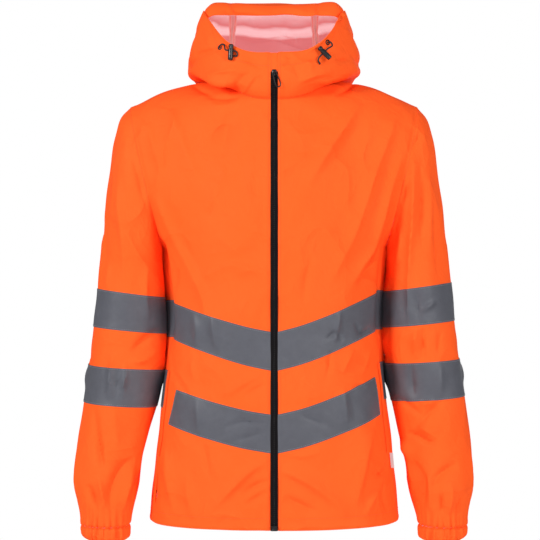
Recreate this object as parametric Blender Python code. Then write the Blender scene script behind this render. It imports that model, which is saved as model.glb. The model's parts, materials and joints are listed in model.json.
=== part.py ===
"""A hooded hi-vis work jacket, filled out as it is worn, with its neck, hem and cuffs open.

Metres, +Z up. The wearer faces -Y, so the wearer's left is +X. The origin is the middle of
the neck, level with the points where the shoulder seams meet the neckline. Each cloth panel
is a grid of points on the garment's form, thickened inwards into a wall, and panels that are
sewn together share the points and the surface directions of their seam.
"""

from math import cos, pi, radians, sin

import bpy
import numpy as np
from mathutils import Vector
from mathutils.bvhtree import BVHTree

# Cloth, tape and seams.
CLOTH = 0.0012
CUFF_CLOTH = 0.0022
TAPE = 0.0010
SEAM_GAP = 0.0003
CLEAR = 0.0003

# The body is a superellipse in plan, wider than it is deep.
ROUNDNESS = 2.35
ZIP_HALF = 0.0060
CHEVRON_CURVE = 1.25
FRONT_COLUMNS = 8
BACK_COLUMNS = 8

# Sections of the body: height, half width, and depth to the front and to the back.
BODY_SECTIONS = (
    # z, half_width, front, back
    (-0.740, 0.2075, 0.119, 0.119),
    (-0.680, 0.2020, 0.122, 0.119),
    (-0.618, 0.1960, 0.124, 0.117),
    (-0.558, 0.1900, 0.125, 0.114),
    (-0.498, 0.1830, 0.124, 0.112),
    (-0.465, 0.1780, 0.123, 0.111),
    (-0.425, 0.1752, 0.123, 0.111),
    (-0.360, 0.1768, 0.125, 0.115),
    (-0.315, 0.1806, 0.127, 0.119),
    (-0.275, 0.1860, 0.128, 0.122),
    (-0.200, 0.1900, 0.127, 0.126),
    (-0.120, 0.1900, 0.120, 0.121),
    (-0.040, 0.1900, 0.100, 0.101),
    (0.015, 0.1900, 0.090, 0.072),
)

# Rows of the panels from the hem up to the underarm: the height at the zip, at the side seam
# of the wearer's right and left, and at the middle of the back. The tapes lie between rows.
BODY_ROWS = (
    # name, at_zip, seam_right, seam_left, at_back
    ("hem", -0.726, -0.725, -0.725, -0.729),
    ("hem_upper", -0.690, -0.672, -0.670, -0.685),
    ("skirt", -0.648, -0.615, -0.608, -0.635),
    ("front_lower_bottom", -0.602, -0.558, -0.5425, -0.580),
    ("back_lower_bottom", -0.5815, -0.5375, -0.524, -0.5575),
    ("front_lower_top", -0.5405, -0.499, -0.480, -0.520),
    ("back_lower_top", -0.515, -0.476, -0.4627, -0.496),
    ("upper_bottom", -0.471, -0.422, -0.4095, -0.442),
    ("upper_top", -0.4095, -0.3615, -0.345, -0.381),
    ("side", -0.355, -0.318, -0.310, -0.335),
    ("underarm", -0.300, -0.275, -0.275, -0.290),
)
SEAM_ANGLE_HEM = radians(74)
SEAM_ANGLE_UNDERARM = radians(90)
SEAM_TURN_START = -0.40

# The armhole is a tilted loop, from the underarm point up to the shoulder point.
ARMHOLE_ROWS = 12
UNDERARM = (0.185, -0.275)
SHOULDER = (0.237, -0.040)
ARMHOLE_FRONT = 0.072
ARMHOLE_BACK = 0.074
CHEST_ROWS = 6
BLADE_BULGE = 0.022
SHOULDER_RISE = 0.0115
ROW_TURN_UNDERARM = radians(90)
ROW_TURN_SHOULDER = radians(38)

# The neckline: half width, and its depth and height at the front, side and back.
NECK_HALF = 0.086
NECK_ROUNDNESS = 2.2
NECK_FRONT = (-0.100, -0.040)
NECK_SIDE = (-0.005, 0.000)
NECK_BACK = (0.072, 0.015)

# The largest folds of the fronts: a line from start to end, its breadth and its depth.
FRONT_FOLDS = (
    # side, x_start, z_start, x_end, z_end, breadth, depth
    (-1, 0.175, -0.225, 0.085, -0.365, 0.022, -0.006),
    (-1, 0.160, -0.300, 0.050, -0.400, 0.026, 0.004),
    (1, 0.165, -0.150, 0.090, -0.270, 0.026, -0.005),
    (1, 0.150, -0.440, 0.040, -0.520, 0.024, 0.004),
    (-1, 0.130, -0.620, 0.040, -0.700, 0.024, 0.004),
)

# Rings of a sleeve: its inner and outer point seen from the front, and its depth.
SLEEVE_RINGS = (
    # name, x_in, z_in, x_out, z_out, y_mid, y_half
    ("armhole", 0.1850, -0.275, 0.2370, -0.040, 0.000, 0.073),
    ("cap_1", 0.1857, -0.2815, 0.2530, -0.056, 0.000, 0.0740),
    ("cap_2", 0.1863, -0.291, 0.2640, -0.088, 0.000, 0.0735),
    ("cap_3", 0.1860, -0.304, 0.2712, -0.135, 0.001, 0.0720),
    ("arm_1", 0.1849, -0.320, 0.2784, -0.195, 0.003, 0.0710),
    ("arm_2", 0.1831, -0.336, 0.2866, -0.264, 0.004, 0.0695),
    ("upper_band_top", 0.1813, -0.352, 0.2944, -0.337, 0.005, 0.0680),
    ("upper_band_bottom", 0.1793, -0.412, 0.3020, -0.400, 0.006, 0.0665),
    ("elbow", 0.1800, -0.441, 0.3058, -0.431, 0.006, 0.0655),
    ("lower_band_top", 0.1826, -0.471, 0.3099, -0.4635, 0.005, 0.0645),
    ("lower_band_bottom", 0.1955, -0.533, 0.3172, -0.525, 0.000, 0.0615),
    ("fore_1", 0.2052, -0.575, 0.3232, -0.573, -0.006, 0.0590),
    ("fore_2", 0.2148, -0.620, 0.3270, -0.620, -0.013, 0.0560),
    ("fore_3", 0.2216, -0.658, 0.3274, -0.658, -0.019, 0.0520),
    ("wrist_1", 0.2276, -0.690, 0.3232, -0.690, -0.024, 0.0460),
    ("wrist_2", 0.2340, -0.714, 0.3185, -0.714, -0.027, 0.0400),
    ("wrist", 0.2378, -0.730, 0.3165, -0.730, -0.029, 0.0375),
)
BAND_SHIFT = {-1: -0.005, 1: 0.005}

# Rings of an elasticated cuff, which are level, and its gathers.
CUFF_RINGS = (
    # z, x_in, x_out, y_mid, y_half, gather
    (-0.7303, 0.2380, 0.3163, -0.029, 0.0373, 0.0005),
    (-0.7375, 0.2368, 0.3175, -0.030, 0.0385, 0.0014),
    (-0.7475, 0.2380, 0.3145, -0.031, 0.0372, 0.0016),
    (-0.7545, 0.2428, 0.3035, -0.031, 0.0320, 0.0010),
)
GATHERS = 16
POINTS_PER_GATHER = 4

# Loops of the hood from the neckline over the crown to the rim of its opening.
HOOD_LOOPS = (
    # name, front_y, front_z, side_x, side_y, side_z, back_y, back_z, roundness, squareness
    ("under", -0.1170, -0.020, 0.1265, -0.002, 0.0045, 0.122, -0.014, 2.2, 4),
    ("bulge", -0.1220, -0.004, 0.1430, 0.002, 0.0150, 0.166, -0.006, 2.3, 4),
    ("side", -0.1225, 0.006, 0.1410, -0.002, 0.045, 0.180, 0.045, 2.4, 4),
    ("upper", -0.1220, 0.013, 0.1305, -0.008, 0.083, 0.160, 0.098, 2.5, 5),
    ("crown", -0.1210, 0.019, 0.1190, -0.018, 0.109, 0.100, 0.124, 2.7, 9),
    ("top", -0.1205, 0.024, 0.1105, -0.038, 0.118, 0.025, 0.134, 3.0, 14),
    ("brim", -0.1195, 0.029, 0.1090, -0.060, 0.108, -0.048, 0.1265, 3.2, 14),
    ("rim", -0.1180, 0.033, 0.1075, -0.072, 0.095, -0.076, 0.101, 3.0, 14),
)
HOOD_ROWS = 12
NECK_COLUMNS = 6
STRIP_COLUMNS = 2

# The tapes lie between named rows. The lower one on a front stops short of the pocket.
FRONT_TAPES = (
    # name, bottom_row, top_row, last_column
    ("upper", "upper_bottom", "upper_top", 8),
    ("lower", "front_lower_bottom", "front_lower_top", 7),
)
BACK_TAPES = (
    # name, bottom_row, top_row
    ("upper", "upper_bottom", "upper_top"),
    ("lower", "back_lower_bottom", "back_lower_top"),
)

# Zip: its strip, slider, pull tab and the box at its foot.
ZIP_THICK = 0.0016
ZIP_CROWN = 0.0006
ZIP_TOP_ROW = 4
SLIDER_SIZE = (0.0076, 0.0020, 0.0105)
SLIDER_Z = 0.0010
BRIDGE_WIDE = 0.0014
BRIDGE_HALF = 0.0027
BRIDGE_HIGH = 0.0036
TUNNEL_HALF = 0.0016
TUNNEL_HIGH = 0.0026
PULL_WIRE = 0.0009
PULL_TILT = radians(14)
PULL_TOP_HALF = 0.0026
PULL_FOOT_HALF = 0.0034
PULL_LONG = 0.0225
FOOT_BOX = (0.0095, 0.0022, 0.0080)

# In-seam pocket welts and the blank label in the wearer's left side seam.
WELT_ROWS = ("skirt", "back_lower_top")
WELT_START = 0.35
WELT_THICK = 0.0010
WELT_LIFT = 0.0006
LABEL_REACH = 0.0060
LABEL_THICK = 0.0008
LABEL_ROWS = ("hem_upper", "skirt")
LABEL_SPAN = (0.55, 0.95)

# Hood cord, its barrel stops and its eyelets. The stops hang on the hood, clear of it.
CORD_RADIUS = 0.00125
STOP_RADIUS = 0.0042
STOP_LONG = 0.0255
STOP_HOLE = 0.00170
STOP_PROFILE = (
    # distance, radius
    (-0.50, 0.72),
    (-0.46, 0.95),
    (-0.30, 1.00),
    (0.20, 1.00),
    (0.25, 0.80),
    (0.31, 0.80),
    (0.36, 0.98),
    (0.47, 0.90),
    (0.50, 0.65),
)
STOP_CLEAR = 0.0022
EYELET_CLEAR = 0.0008
CORD_ROOT = (0.0007, 0.0040)
EYELET_OUTER = 0.0046
EYELET_INNER = 0.0023
EYELET_THICK = 0.0010
CORD_STEPS = 4
HOOD_FITTINGS = {
    # side: (eyelet x z), (stop x z), (stop axis x z), hole along the axis
    -1: ((0.0860, 0.0440), (0.0690, 0.0340), (0.05, 1.0), 0.10),
    1: ((0.0850, 0.0520), (0.0800, 0.0330), (-1.0, 1.0), 0.05),
}
# Each cord leaves its eyelet, bows over to the stop, passes straight through it and turns back
# into the hood. Steps are across, out and up, from the eyelet and from the hole of the stop.
CORD_BOWS = {
    # side: steps from the eyelet, the way through the stop, steps from the hole
    -1: (
        ((0.0022, 0.0068, 0.0040), (0.0050, 0.0085, 0.0038)),
        (1.0, 0.0, -0.08),
        ((0.0102, 0.0000, -0.0045), (0.0090, -0.0010, -0.0090)),
    ),
    1: (
        ((0.0045, 0.0068, -0.0005), (0.0075, 0.0085, -0.0050)),
        (-1.0, 0.0, -1.0),
        ((-0.0085, 0.0000, -0.0095), (-0.0092, -0.0010, -0.0130)),
    ),
}
CORD_THROUGH = (-0.0072, -0.0045, 0.0045, 0.0068)
CORD_END = {-1: (0.0625, 0.0285), 1: (0.0715, 0.0165)}

SIDES = ((-1, "right"), (1, "left"))

ORANGE = (1.0, 0.130, 0.010)
COLOURS = {
    # name: colour, roughness, metallic
    "shell": (ORANGE, 0.50, 0.0),
    "tape": ((0.12, 0.125, 0.14), 0.45, 0.2),
    "black": ((0.012, 0.012, 0.014), 0.45, 0.0),
    "label": ((0.8, 0.8, 0.8), 0.7, 0.0),
}


def clear_scene():
    for old in list(bpy.data.objects):
        bpy.data.objects.remove(old, do_unlink=True)


def material(name):
    colour, roughness, metallic = COLOURS[name]
    found = bpy.data.materials.get(name)
    if found:
        return found
    made = bpy.data.materials.new(name)
    made.use_nodes = True
    shader = made.node_tree.nodes["Principled BSDF"]
    shader.inputs["Base Color"].default_value = (*colour, 1.0)
    shader.inputs["Roughness"].default_value = roughness
    shader.inputs["Metallic"].default_value = metallic
    return made


def add_object(name, points, faces, colour):
    """One closed mesh as an object, shaded smooth apart from its sharp edges."""
    mesh = bpy.data.meshes.new(name)
    mesh.from_pydata([tuple(p) for p in points], [], faces)
    mesh.validate()
    mesh.shade_smooth()
    mesh.set_sharp_from_angle(angle=radians(40))
    mesh.materials.append(material(colour))
    made = bpy.data.objects.new(name, mesh)
    bpy.context.scene.collection.objects.link(made)
    return made


def unit(v):
    return v / max(np.linalg.norm(v), 1e-12)


# The form of the body.


def smooth_between(keys, at):
    """A point on the smooth curve through the keys, at a place counted in keys."""
    i = min(int(at), len(keys) - 2)
    t = at - i
    b, c = keys[i], keys[i + 1]
    a = keys[i - 1] if i > 0 else 2 * b - c
    d = keys[i + 2] if i + 2 < len(keys) else 2 * c - b
    return b + 0.5 * t * (c - a + t * (2 * a - 5 * b + 4 * c - d + t * (3 * (b - c) + d - a)))


def body_size(z):
    """Half width, front depth and back depth at a height."""
    table = np.array(BODY_SECTIONS)
    i = int(np.clip(np.searchsorted(table[:, 0], z) - 1, 0, len(table) - 2))
    t = (z - table[i, 0]) / (table[i + 1, 0] - table[i, 0])
    return smooth_between(table[:, 1:], i + t)


def around(angle, roundness):
    """A superellipse's share of the half width and of the depth, 0 at the centre front."""
    across = abs(sin(angle)) ** (2 / roundness)
    along = abs(cos(angle)) ** (2 / roundness)
    return across, along


def fold_offset(side, x, z):
    """How far the front stands out or sinks in at a place, from the table of folds."""
    total = 0.0
    for fold_side, x0, z0, x1, z1, breadth, depth in FRONT_FOLDS:
        if fold_side != side:
            continue
        run = np.array((x1 - x0, z1 - z0))
        off = np.array((x - x0, z - z0))
        t = off @ run / (run @ run)
        away = abs(off[0] * run[1] - off[1] * run[0]) / np.linalg.norm(run)
        if 0 < t < 1:
            total += depth * sin(pi * t) * np.exp(-((away / breadth) ** 2))
    return total


def seam_angle(z):
    """The side seam runs a little to the front, and reaches the underarm point."""
    t = np.clip((z - SEAM_TURN_START) / (UNDERARM[1] - SEAM_TURN_START), 0, 1)
    t = t * t * (3 - 2 * t)
    return SEAM_ANGLE_HEM + (SEAM_ANGLE_UNDERARM - SEAM_ANGLE_HEM) * t


def front_row(side, row):
    """Points of a front from the zip to the side seam, below the underarm."""
    at_zip, at_seam = row[1], row[2 if side < 0 else 3]
    end = seam_angle(at_seam)
    end_across, _ = around(end, ROUNDNESS)
    points = []
    for i in range(FRONT_COLUMNS + 1):
        across, along = around(end * i / FRONT_COLUMNS, ROUNDNESS)
        z = at_zip + (at_seam - at_zip) * (across / end_across) ** CHEVRON_CURVE
        half, front, _ = body_size(z)
        x = ZIP_HALF + (half * end_across - ZIP_HALF) * across / end_across
        y = -front * along - (fold_offset(side, x, z) if i < FRONT_COLUMNS else 0.0)
        points.append(np.array((side * x, y, z)))
    return points


def back_row(side, row):
    """Points of half of the back from its middle to the side seam."""
    at_back, at_seam = row[4], row[2 if side < 0 else 3]
    end = seam_angle(at_seam)
    points = []
    for i in range(BACK_COLUMNS + 1):
        share = i / BACK_COLUMNS
        angle = pi - (pi - end) * share
        z = at_back + (at_seam - at_back) * sin(share * pi / 2) ** CHEVRON_CURVE
        half, front, back = body_size(z)
        across, along = around(angle, ROUNDNESS)
        y = along * (back if angle > pi / 2 else -front)
        points.append(np.array((side * half * across, y, z)))
    points[0][0] = 0.0
    return points


def armhole_point(side, share, to_front):
    """A point of the armhole, from the underarm at 0 to the shoulder at 1."""
    angle = pi * share
    x = (UNDERARM[0] + SHOULDER[0]) / 2 - (SHOULDER[0] - UNDERARM[0]) / 2 * cos(angle)
    z = (UNDERARM[1] + SHOULDER[1]) / 2 - (SHOULDER[1] - UNDERARM[1]) / 2 * cos(angle)
    y = sin(angle) * (-ARMHOLE_FRONT if to_front else ARMHOLE_BACK)
    return np.array((side * x, y if 0 < share < 1 else 0.0, z))


def neck_point(side, angle):
    """A point of the neckline, 0 at the centre front and pi at the centre back."""
    across, along = around(angle, NECK_ROUNDNESS)
    to_front = angle <= pi / 2
    y_end, z_end = NECK_FRONT if to_front else NECK_BACK
    edge = ZIP_HALF if to_front else 0.0
    x = edge + (NECK_HALF - edge) * across
    y = NECK_SIDE[0] + (y_end - NECK_SIDE[0]) * along
    z = NECK_SIDE[1] + (z_end - NECK_SIDE[1]) * cos(angle) ** 2
    return np.array((side * x, y, z))


def centre_point(side, row, to_front):
    """Where a row above the underarm starts: on the zip or centre back, then on the neckline."""
    if row > CHEST_ROWS:
        turn = (row - CHEST_ROWS) / NECK_COLUMNS * pi / 2
        return neck_point(side, turn if to_front else pi - turn)
    share = row / CHEST_ROWS
    low = BODY_ROWS[-1][1 if to_front else 4]
    high = (NECK_FRONT if to_front else NECK_BACK)[1]
    z = low + (high - low) * share
    _, front, back = body_size(z)
    if to_front:
        return np.array((side * ZIP_HALF, -front, z))
    return np.array((0.0, back, z))


def upper_row(side, row, to_front):
    """Points from the zip, centre back or neckline to the armhole, above the underarm."""
    start = centre_point(side, row, to_front)
    end = armhole_point(side, row / ARMHOLE_ROWS, to_front)
    share = row / ARMHOLE_ROWS
    turn = ROW_TURN_UNDERARM + (ROW_TURN_SHOULDER - ROW_TURN_UNDERARM) * share
    turn_across, turn_along = around(turn, 2 + (ROUNDNESS - 2) * (1 - share))
    columns = FRONT_COLUMNS if to_front else BACK_COLUMNS
    points = []
    for i in range(columns + 1):
        across, along = around(turn * i / columns, 2 + (ROUNDNESS - 2) * (1 - share))
        t = across / turn_across
        bulge = (along - turn_along) / (1 - turn_along)
        x = start[0] + (end[0] - start[0]) * t
        y = end[1] + (start[1] - end[1]) * bulge
        z = start[2] + (end[2] - start[2]) * t + SHOULDER_RISE * sin(pi * t) * share**4
        if to_front and row < CHEST_ROWS:
            y -= fold_offset(side, abs(x), z)
        if not to_front:
            y += BLADE_BULGE * sin(pi * t) * sin(pi * share)
        points.append(np.array((x, y, z)))
    points[-1] = end
    points[0] = start
    return points


def panel_rows(side, to_front):
    rows = [(front_row if to_front else back_row)(side, row) for row in BODY_ROWS]
    underarm = armhole_point(side, 0, to_front)
    rows[-1][-1] = underarm
    rows += [upper_row(side, row, to_front) for row in range(1, ARMHOLE_ROWS + 1)]
    return rows


# Cloth: quads of points, outside face first seen anticlockwise from outside.


def quads_of(rows, side, closed=False):
    """Quads between rows that run upwards, each going from the centre towards a side."""
    quads = []
    for low, high in zip(rows, rows[1:]):
        count = len(low)
        for i in range(count if closed else count - 1):
            j = (i + 1) % count
            quad = (low[i], low[j], high[j], high[i])
            quads.append(quad[1:] + quad[:1] if side > 0 else quad[::-1])
    return quads


class Cloth:
    """A sheet of quads, with points that coincide merged."""

    def __init__(self, quads):
        self.points, self.faces, self.keys = [], [], {}
        for quad in quads:
            face = []
            for point in quad:
                key = tuple(np.round(point, 6))
                if key not in self.keys:
                    self.keys[key] = len(self.points)
                    self.points.append(np.array(point, float))
                face.append(self.keys[key])
            self.faces.append(face)

    def corners(self):
        """For each corner of each face, its point and the outward direction times its angle."""
        for face in self.faces:
            a, b, c, d = (self.points[i] for i in face)
            outward = unit(np.cross(c - a, d - b))
            for k, i in enumerate(face):
                ahead = unit(self.points[face[(k + 1) % 4]] - self.points[i])
                behind = unit(self.points[face[k - 1]] - self.points[i])
                yield i, outward * np.arccos(np.clip(ahead @ behind, -1, 1))

    def open_edges(self):
        directed = {(f[i], f[(i + 1) % 4]) for f in self.faces for i in range(4)}
        return [edge for edge in directed if edge[::-1] not in directed]


def shared_normals(sheets):
    """Outward directions at every point, the same on both sides of a seam."""
    total = {}
    for sheet in sheets:
        names = {i: key for key, i in sheet.keys.items()}
        for i, normal in sheet.corners():
            total[names[i]] = total.get(names[i], 0) + normal
    return {key: unit(normal) for key, normal in total.items()}


def wall(name, sheet, normals, thickness, colour, lift=0.0, gap=SEAM_GAP):
    """A closed wall under a sheet. Its edges step back from the seams by half the gap.

    Quads and edges are halved the same way in every panel, so that neighbours stay clear.
    """
    names = {i: key for key, i in sheet.keys.items()}
    normal = [normals[names[i]] for i in range(len(sheet.points))]
    inward = {}
    for a, b in sheet.open_edges():
        along = unit(sheet.points[b] - sheet.points[a])
        side = unit(np.cross(unit(normal[a] + normal[b]), along))
        inward.setdefault(a, []).append(side)
        inward.setdefault(b, []).append(side)
    outer = []
    for i, point in enumerate(sheet.points):
        step = np.zeros(3)
        if i in inward:
            sides = inward[i]
            total = sum(sides[1:], sides[0])
            step = total * (gap / 2) / max(1.0, 0.5 * (1 + sides[0] @ sides[-1]) * len(sides))
        outer.append(point + step + normal[i] * lift)
    inner = [p - n * thickness for p, n in zip(outer, normal)]
    count = len(outer)
    halves = [half for a, b, c, d in sheet.faces for half in ((a, b, c), (a, c, d))]
    faces = halves + [(count + c, count + b, count + a) for a, b, c in halves]
    for a, b in sheet.open_edges():
        first = min((a, b), key=lambda i: (abs(names[i][0]), names[i][1], names[i][2]))
        if first == a:
            faces += [(b, a, count + b), (a, count + a, count + b)]
        else:
            faces += [(b, a, count + a), (b, count + a, count + b)]
    return add_object(name, outer + inner, faces, colour)


# Sleeves and cuffs.


def sleeve_rows(side):
    """Rings down the sleeve, each round the front from the inner point to the outer one."""
    rings = []
    for name, x_in, z_in, x_out, z_out, y_mid, y_half in SLEEVE_RINGS:
        shift = BAND_SHIFT[side] if "band" in name or name == "elbow" else 0.0
        ring = []
        for k in range(2 * ARMHOLE_ROWS):
            angle = pi * k / ARMHOLE_ROWS
            x = (x_in + x_out) / 2 - (x_out - x_in) / 2 * cos(angle)
            z = (z_in + z_out) / 2 - (z_out - z_in) / 2 * cos(angle) + shift
            ring.append(np.array((side * x, y_mid - y_half * sin(angle), z)))
        rings.append(ring)
    front = [armhole_point(side, k / ARMHOLE_ROWS, True) for k in range(ARMHOLE_ROWS + 1)]
    back = [armhole_point(side, k / ARMHOLE_ROWS, False) for k in range(ARMHOLE_ROWS + 1)]
    rings[0] = front + back[-2:0:-1]
    return rings


def cuff_rows(side):
    count = GATHERS * POINTS_PER_GATHER
    rings = []
    for z, x_in, x_out, y_mid, y_half, gather in CUFF_RINGS:
        ring = []
        for k in range(count):
            angle = 2 * pi * k / count
            wave = gather * cos(GATHERS * angle)
            x = (x_in + x_out) / 2 - ((x_out - x_in) / 2 + wave) * cos(angle)
            y = y_mid - (y_half + wave) * sin(angle)
            ring.append(np.array((side * x, y, z)))
        rings.append(ring)
    return rings


# Hood.


def hood_keys(side, column):
    """The points of the hood's loops at one column, from the neckline to the rim."""
    angle = pi / 2 * column / NECK_COLUMNS
    keys = [neck_point(side, angle)]
    for loop in HOOD_LOOPS:
        front_y, front_z, side_x, side_y, side_z, back_y, back_z, roundness, squareness = loop[1:]
        across, along = around(angle, roundness)
        to_front = angle <= pi / 2
        end_y, end_z = (front_y, front_z) if to_front else (back_y, back_z)
        edge = ZIP_HALF if to_front else 0.0
        x = edge + (side_x - edge) * across
        y = side_y + (end_y - side_y) * along
        level = cos(angle) ** 2 if to_front else 1 - sin(angle) ** squareness
        z = side_z + (end_z - side_z) * level
        keys.append(np.array((side * x, y, z)))
    return keys


def hood_rows(side, first, last):
    """Rows up the hood, between two columns."""
    columns = [hood_keys(side, column) for column in range(first, last + 1)]
    rows = []
    for row in range(HOOD_ROWS + 1):
        at = row / HOOD_ROWS * len(HOOD_LOOPS)
        rows.append([smooth_between(keys, at) for keys in columns])
    return rows


# Small shapes.


def frame_of(axis):
    """Two directions square to an axis and to each other."""
    side = unit(np.cross(axis, (0.3, 0.5, 0.8)))
    return side, np.cross(axis, side)


def loft(rings, ends=True):
    """A tube of faces through rings of points, closed by end faces or back to its start."""
    count, steps = len(rings), len(rings[0])
    faces = []
    for j in range(count - 1 if ends else count):
        m = (j + 1) % count
        for k in range(steps):
            n = (k + 1) % steps
            faces.append((j * steps + k, j * steps + n, m * steps + n, m * steps + k))
    if ends:
        faces.append(tuple(range(steps))[::-1])
        faces.append(tuple((count - 1) * steps + k for k in range(steps)))
    return [p for ring in rings for p in ring], faces


def circle(centre, side, up, radius, steps):
    turns = [2 * pi * k / steps for k in range(steps)]
    return [centre + radius * (side * cos(a) + up * sin(a)) for a in turns]


def turned(profile, centre, axis, steps=12, ends=True):
    """A solid turned about an axis, from (distance, radius) pairs."""
    side, up = frame_of(axis)
    return loft([circle(centre + axis * d, side, up, r, steps) for d, r in profile], ends)


def tube_along(points, radius, steps=8, closed=False):
    """A round tube through points, with flat ends unless it is closed."""
    points = [np.array(p, float) for p in points]
    count = len(points)
    rings, across = [], None
    for i in range(count):
        ahead = points[(i + 1) % count] if closed or i + 1 < count else points[i]
        behind = points[i - 1] if closed or i > 0 else points[i]
        along = unit(ahead - behind)
        if across is None:
            across = frame_of(along)[0]
        across = unit(across - along * (across @ along))
        rings.append(circle(points[i], across, np.cross(along, across), radius, steps))
    return loft(rings, ends=not closed)


def block(centre, size):
    """An upright box."""
    x, y, z = (np.array(size) / 2 * np.eye(3))
    corners = [-x - y, x - y, x + y, -x + y]
    return loft([[centre + c - z for c in corners], [centre + c + z for c in corners]])


def cut(target, name, points, faces, how):
    """Cuts a shape from an object, or joins it on, with a Boolean."""
    other = add_object(name, points, faces, "black")
    other.hide_render = True
    other.display_type = "WIRE"
    change = target.modifiers.new(name, "BOOLEAN")
    change.operation = how
    change.object = other


# Pieces.


def build_panels():
    """Every panel that is sewn to another, from one set of shared seam directions."""
    sheets = {}
    for side, word in SIDES:
        sheets[f"front_{word}"] = Cloth(quads_of(panel_rows(side, True), side))
        sheets[f"sleeve_{word}"] = Cloth(quads_of(sleeve_rows(side)[::-1], side, closed=True))
        sheets[f"cuff_{word}"] = Cloth(quads_of(cuff_rows(side)[::-1], side, closed=True))
        side_panel = hood_rows(side, 0, 2 * NECK_COLUMNS - STRIP_COLUMNS)
        sheets[f"hood_{word}"] = Cloth(quads_of(side_panel, side))
    back, strip = [], []
    for side, _ in SIDES:
        back += quads_of(panel_rows(side, False), -side)
        first = 2 * NECK_COLUMNS - STRIP_COLUMNS
        strip += quads_of(hood_rows(side, first, 2 * NECK_COLUMNS), side)
    sheets["back"] = Cloth(back)
    sheets["hood_centre"] = Cloth(strip)
    normals = shared_normals(sheets.values())
    for name, sheet in sheets.items():
        wall(name, sheet, normals, CUFF_CLOTH if "cuff" in name else CLOTH, "shell")
    return normals


def row_number(table, name):
    return [row[0] for row in table].index(name)


def build_tapes(normals):
    """The reflective tapes, made from their panels' own points, moved out."""
    lift = CLEAR + TAPE
    for side, word in SIDES:
        rows = panel_rows(side, True)
        for name, bottom, top, last in FRONT_TAPES:
            low, high = row_number(BODY_ROWS, bottom), row_number(BODY_ROWS, top)
            strip = [row[: last + 1] for row in rows[low : high + 1]]
            sheet = Cloth(quads_of(strip, side))
            wall(f"tape_{name}_{word}", sheet, normals, TAPE, "tape", lift)
        rings = sleeve_rows(side)
        for name in ("upper", "lower"):
            low = row_number(SLEEVE_RINGS, f"{name}_band_bottom")
            high = row_number(SLEEVE_RINGS, f"{name}_band_top")
            sheet = Cloth(quads_of(rings[high : low + 1][::-1], side, closed=True))
            wall(f"tape_arm_{name}_{word}", sheet, normals, TAPE, "tape", lift)
    for name, bottom, top in BACK_TAPES:
        low, high = row_number(BODY_ROWS, bottom), row_number(BODY_ROWS, top)
        quads = []
        for side, _ in SIDES:
            quads += quads_of(panel_rows(side, False)[low : high + 1], -side)
        wall(f"tape_{name}_back", Cloth(quads), normals, TAPE, "tape", lift)


def zip_line():
    """The edge that both fronts and both hood sides show to the zip, from the hem up."""
    rows = panel_rows(1, True)[: len(BODY_ROWS) + CHEST_ROWS]
    hood = hood_rows(1, 0, 0)[1:]
    return [row[0] for row in rows], [row[0] for row in hood]


def strip_rows(line, crown):
    """Three points across for each point of a line: both edges and the crown between."""
    rows = []
    for point in line:
        edge = np.array((-point[0], point[1], point[2]))
        rows.append([edge, np.array((0.0, point[1] - crown, point[2])), point])
    return rows


def build_zip():
    """The zip strip, and the folded guard over its top that closes the chin."""
    body, hood = zip_line()
    strip = Cloth(quads_of(strip_rows(body + hood[:ZIP_TOP_ROW], ZIP_CROWN), 1))
    wall("zip_strip", strip, shared_normals([strip]), ZIP_THICK, "black")
    guard = Cloth(quads_of(strip_rows(hood[ZIP_TOP_ROW - 1 :], ZIP_CROWN), 1))
    wall("chin_guard", guard, shared_normals([guard]), CLOTH, "shell")
    foot = body[0]
    lean = (foot[1] - body[1][1]) * FOOT_BOX[2] / (body[1][2] - foot[2])
    centre = np.array((0.0, foot[1] - lean - ZIP_CROWN - 2 * CLEAR - FOOT_BOX[1] / 2, foot[2]))
    centre[2] += FOOT_BOX[2] / 2 + CLEAR
    add_object("zip_foot_box", *block(centre, FOOT_BOX), "black")
    top = hood[ZIP_TOP_ROW - 1]
    face = top[1] - ZIP_CROWN - 2 * CLEAR - SLIDER_SIZE[1]
    build_slider(np.array((0.0, face, SLIDER_Z)))


def build_slider(face):
    """The slider, with its bridge, and the pull tab hung through the bridge."""
    centre = face + (0.0, SLIDER_SIZE[1] / 2, 0.0)
    slider = add_object("zip_slider", *block(centre, SLIDER_SIZE), "black")
    sink = SLIDER_SIZE[1] / 4
    arch = (
        (-BRIDGE_HALF, -sink),
        (-BRIDGE_HALF, BRIDGE_HIGH),
        (BRIDGE_HALF, BRIDGE_HIGH),
        (BRIDGE_HALF, -sink),
        (TUNNEL_HALF, -sink),
        (TUNNEL_HALF, TUNNEL_HIGH),
        (-TUNNEL_HALF, TUNNEL_HIGH),
        (-TUNNEL_HALF, -sink),
    )
    rings = []
    for x in (-BRIDGE_WIDE / 2, BRIDGE_WIDE / 2):
        rings.append([face + (x, -out, up) for up, out in arch])
    cut(slider, "slider_bridge", *loft(rings), "UNION")
    hinge = face + (0.0, -TUNNEL_HIGH / 2, 0.0)
    down = np.array((sin(PULL_TILT), 0.0, -cos(PULL_TILT)))
    across = np.array((cos(PULL_TILT), 0.0, sin(PULL_TILT)))
    outline = [(-PULL_TOP_HALF, 0.0), (0.0, 0.0), (PULL_TOP_HALF, 0.0)]
    straight = PULL_LONG - PULL_FOOT_HALF
    outline += [((PULL_TOP_HALF + PULL_FOOT_HALF) / 2, straight / 2)]
    for k in range(7):
        a = pi * k / 6
        outline.append((PULL_FOOT_HALF * cos(a), straight + PULL_FOOT_HALF * sin(a)))
    outline += [(-(PULL_TOP_HALF + PULL_FOOT_HALF) / 2, straight / 2)]
    points = [across * a + down * d for a, d in outline]
    made, faces = tube_along(points, PULL_WIRE, steps=6, closed=True)
    pull = add_object("zip_pull", made, faces, "black")
    pull.location = Vector(hinge)


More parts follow.
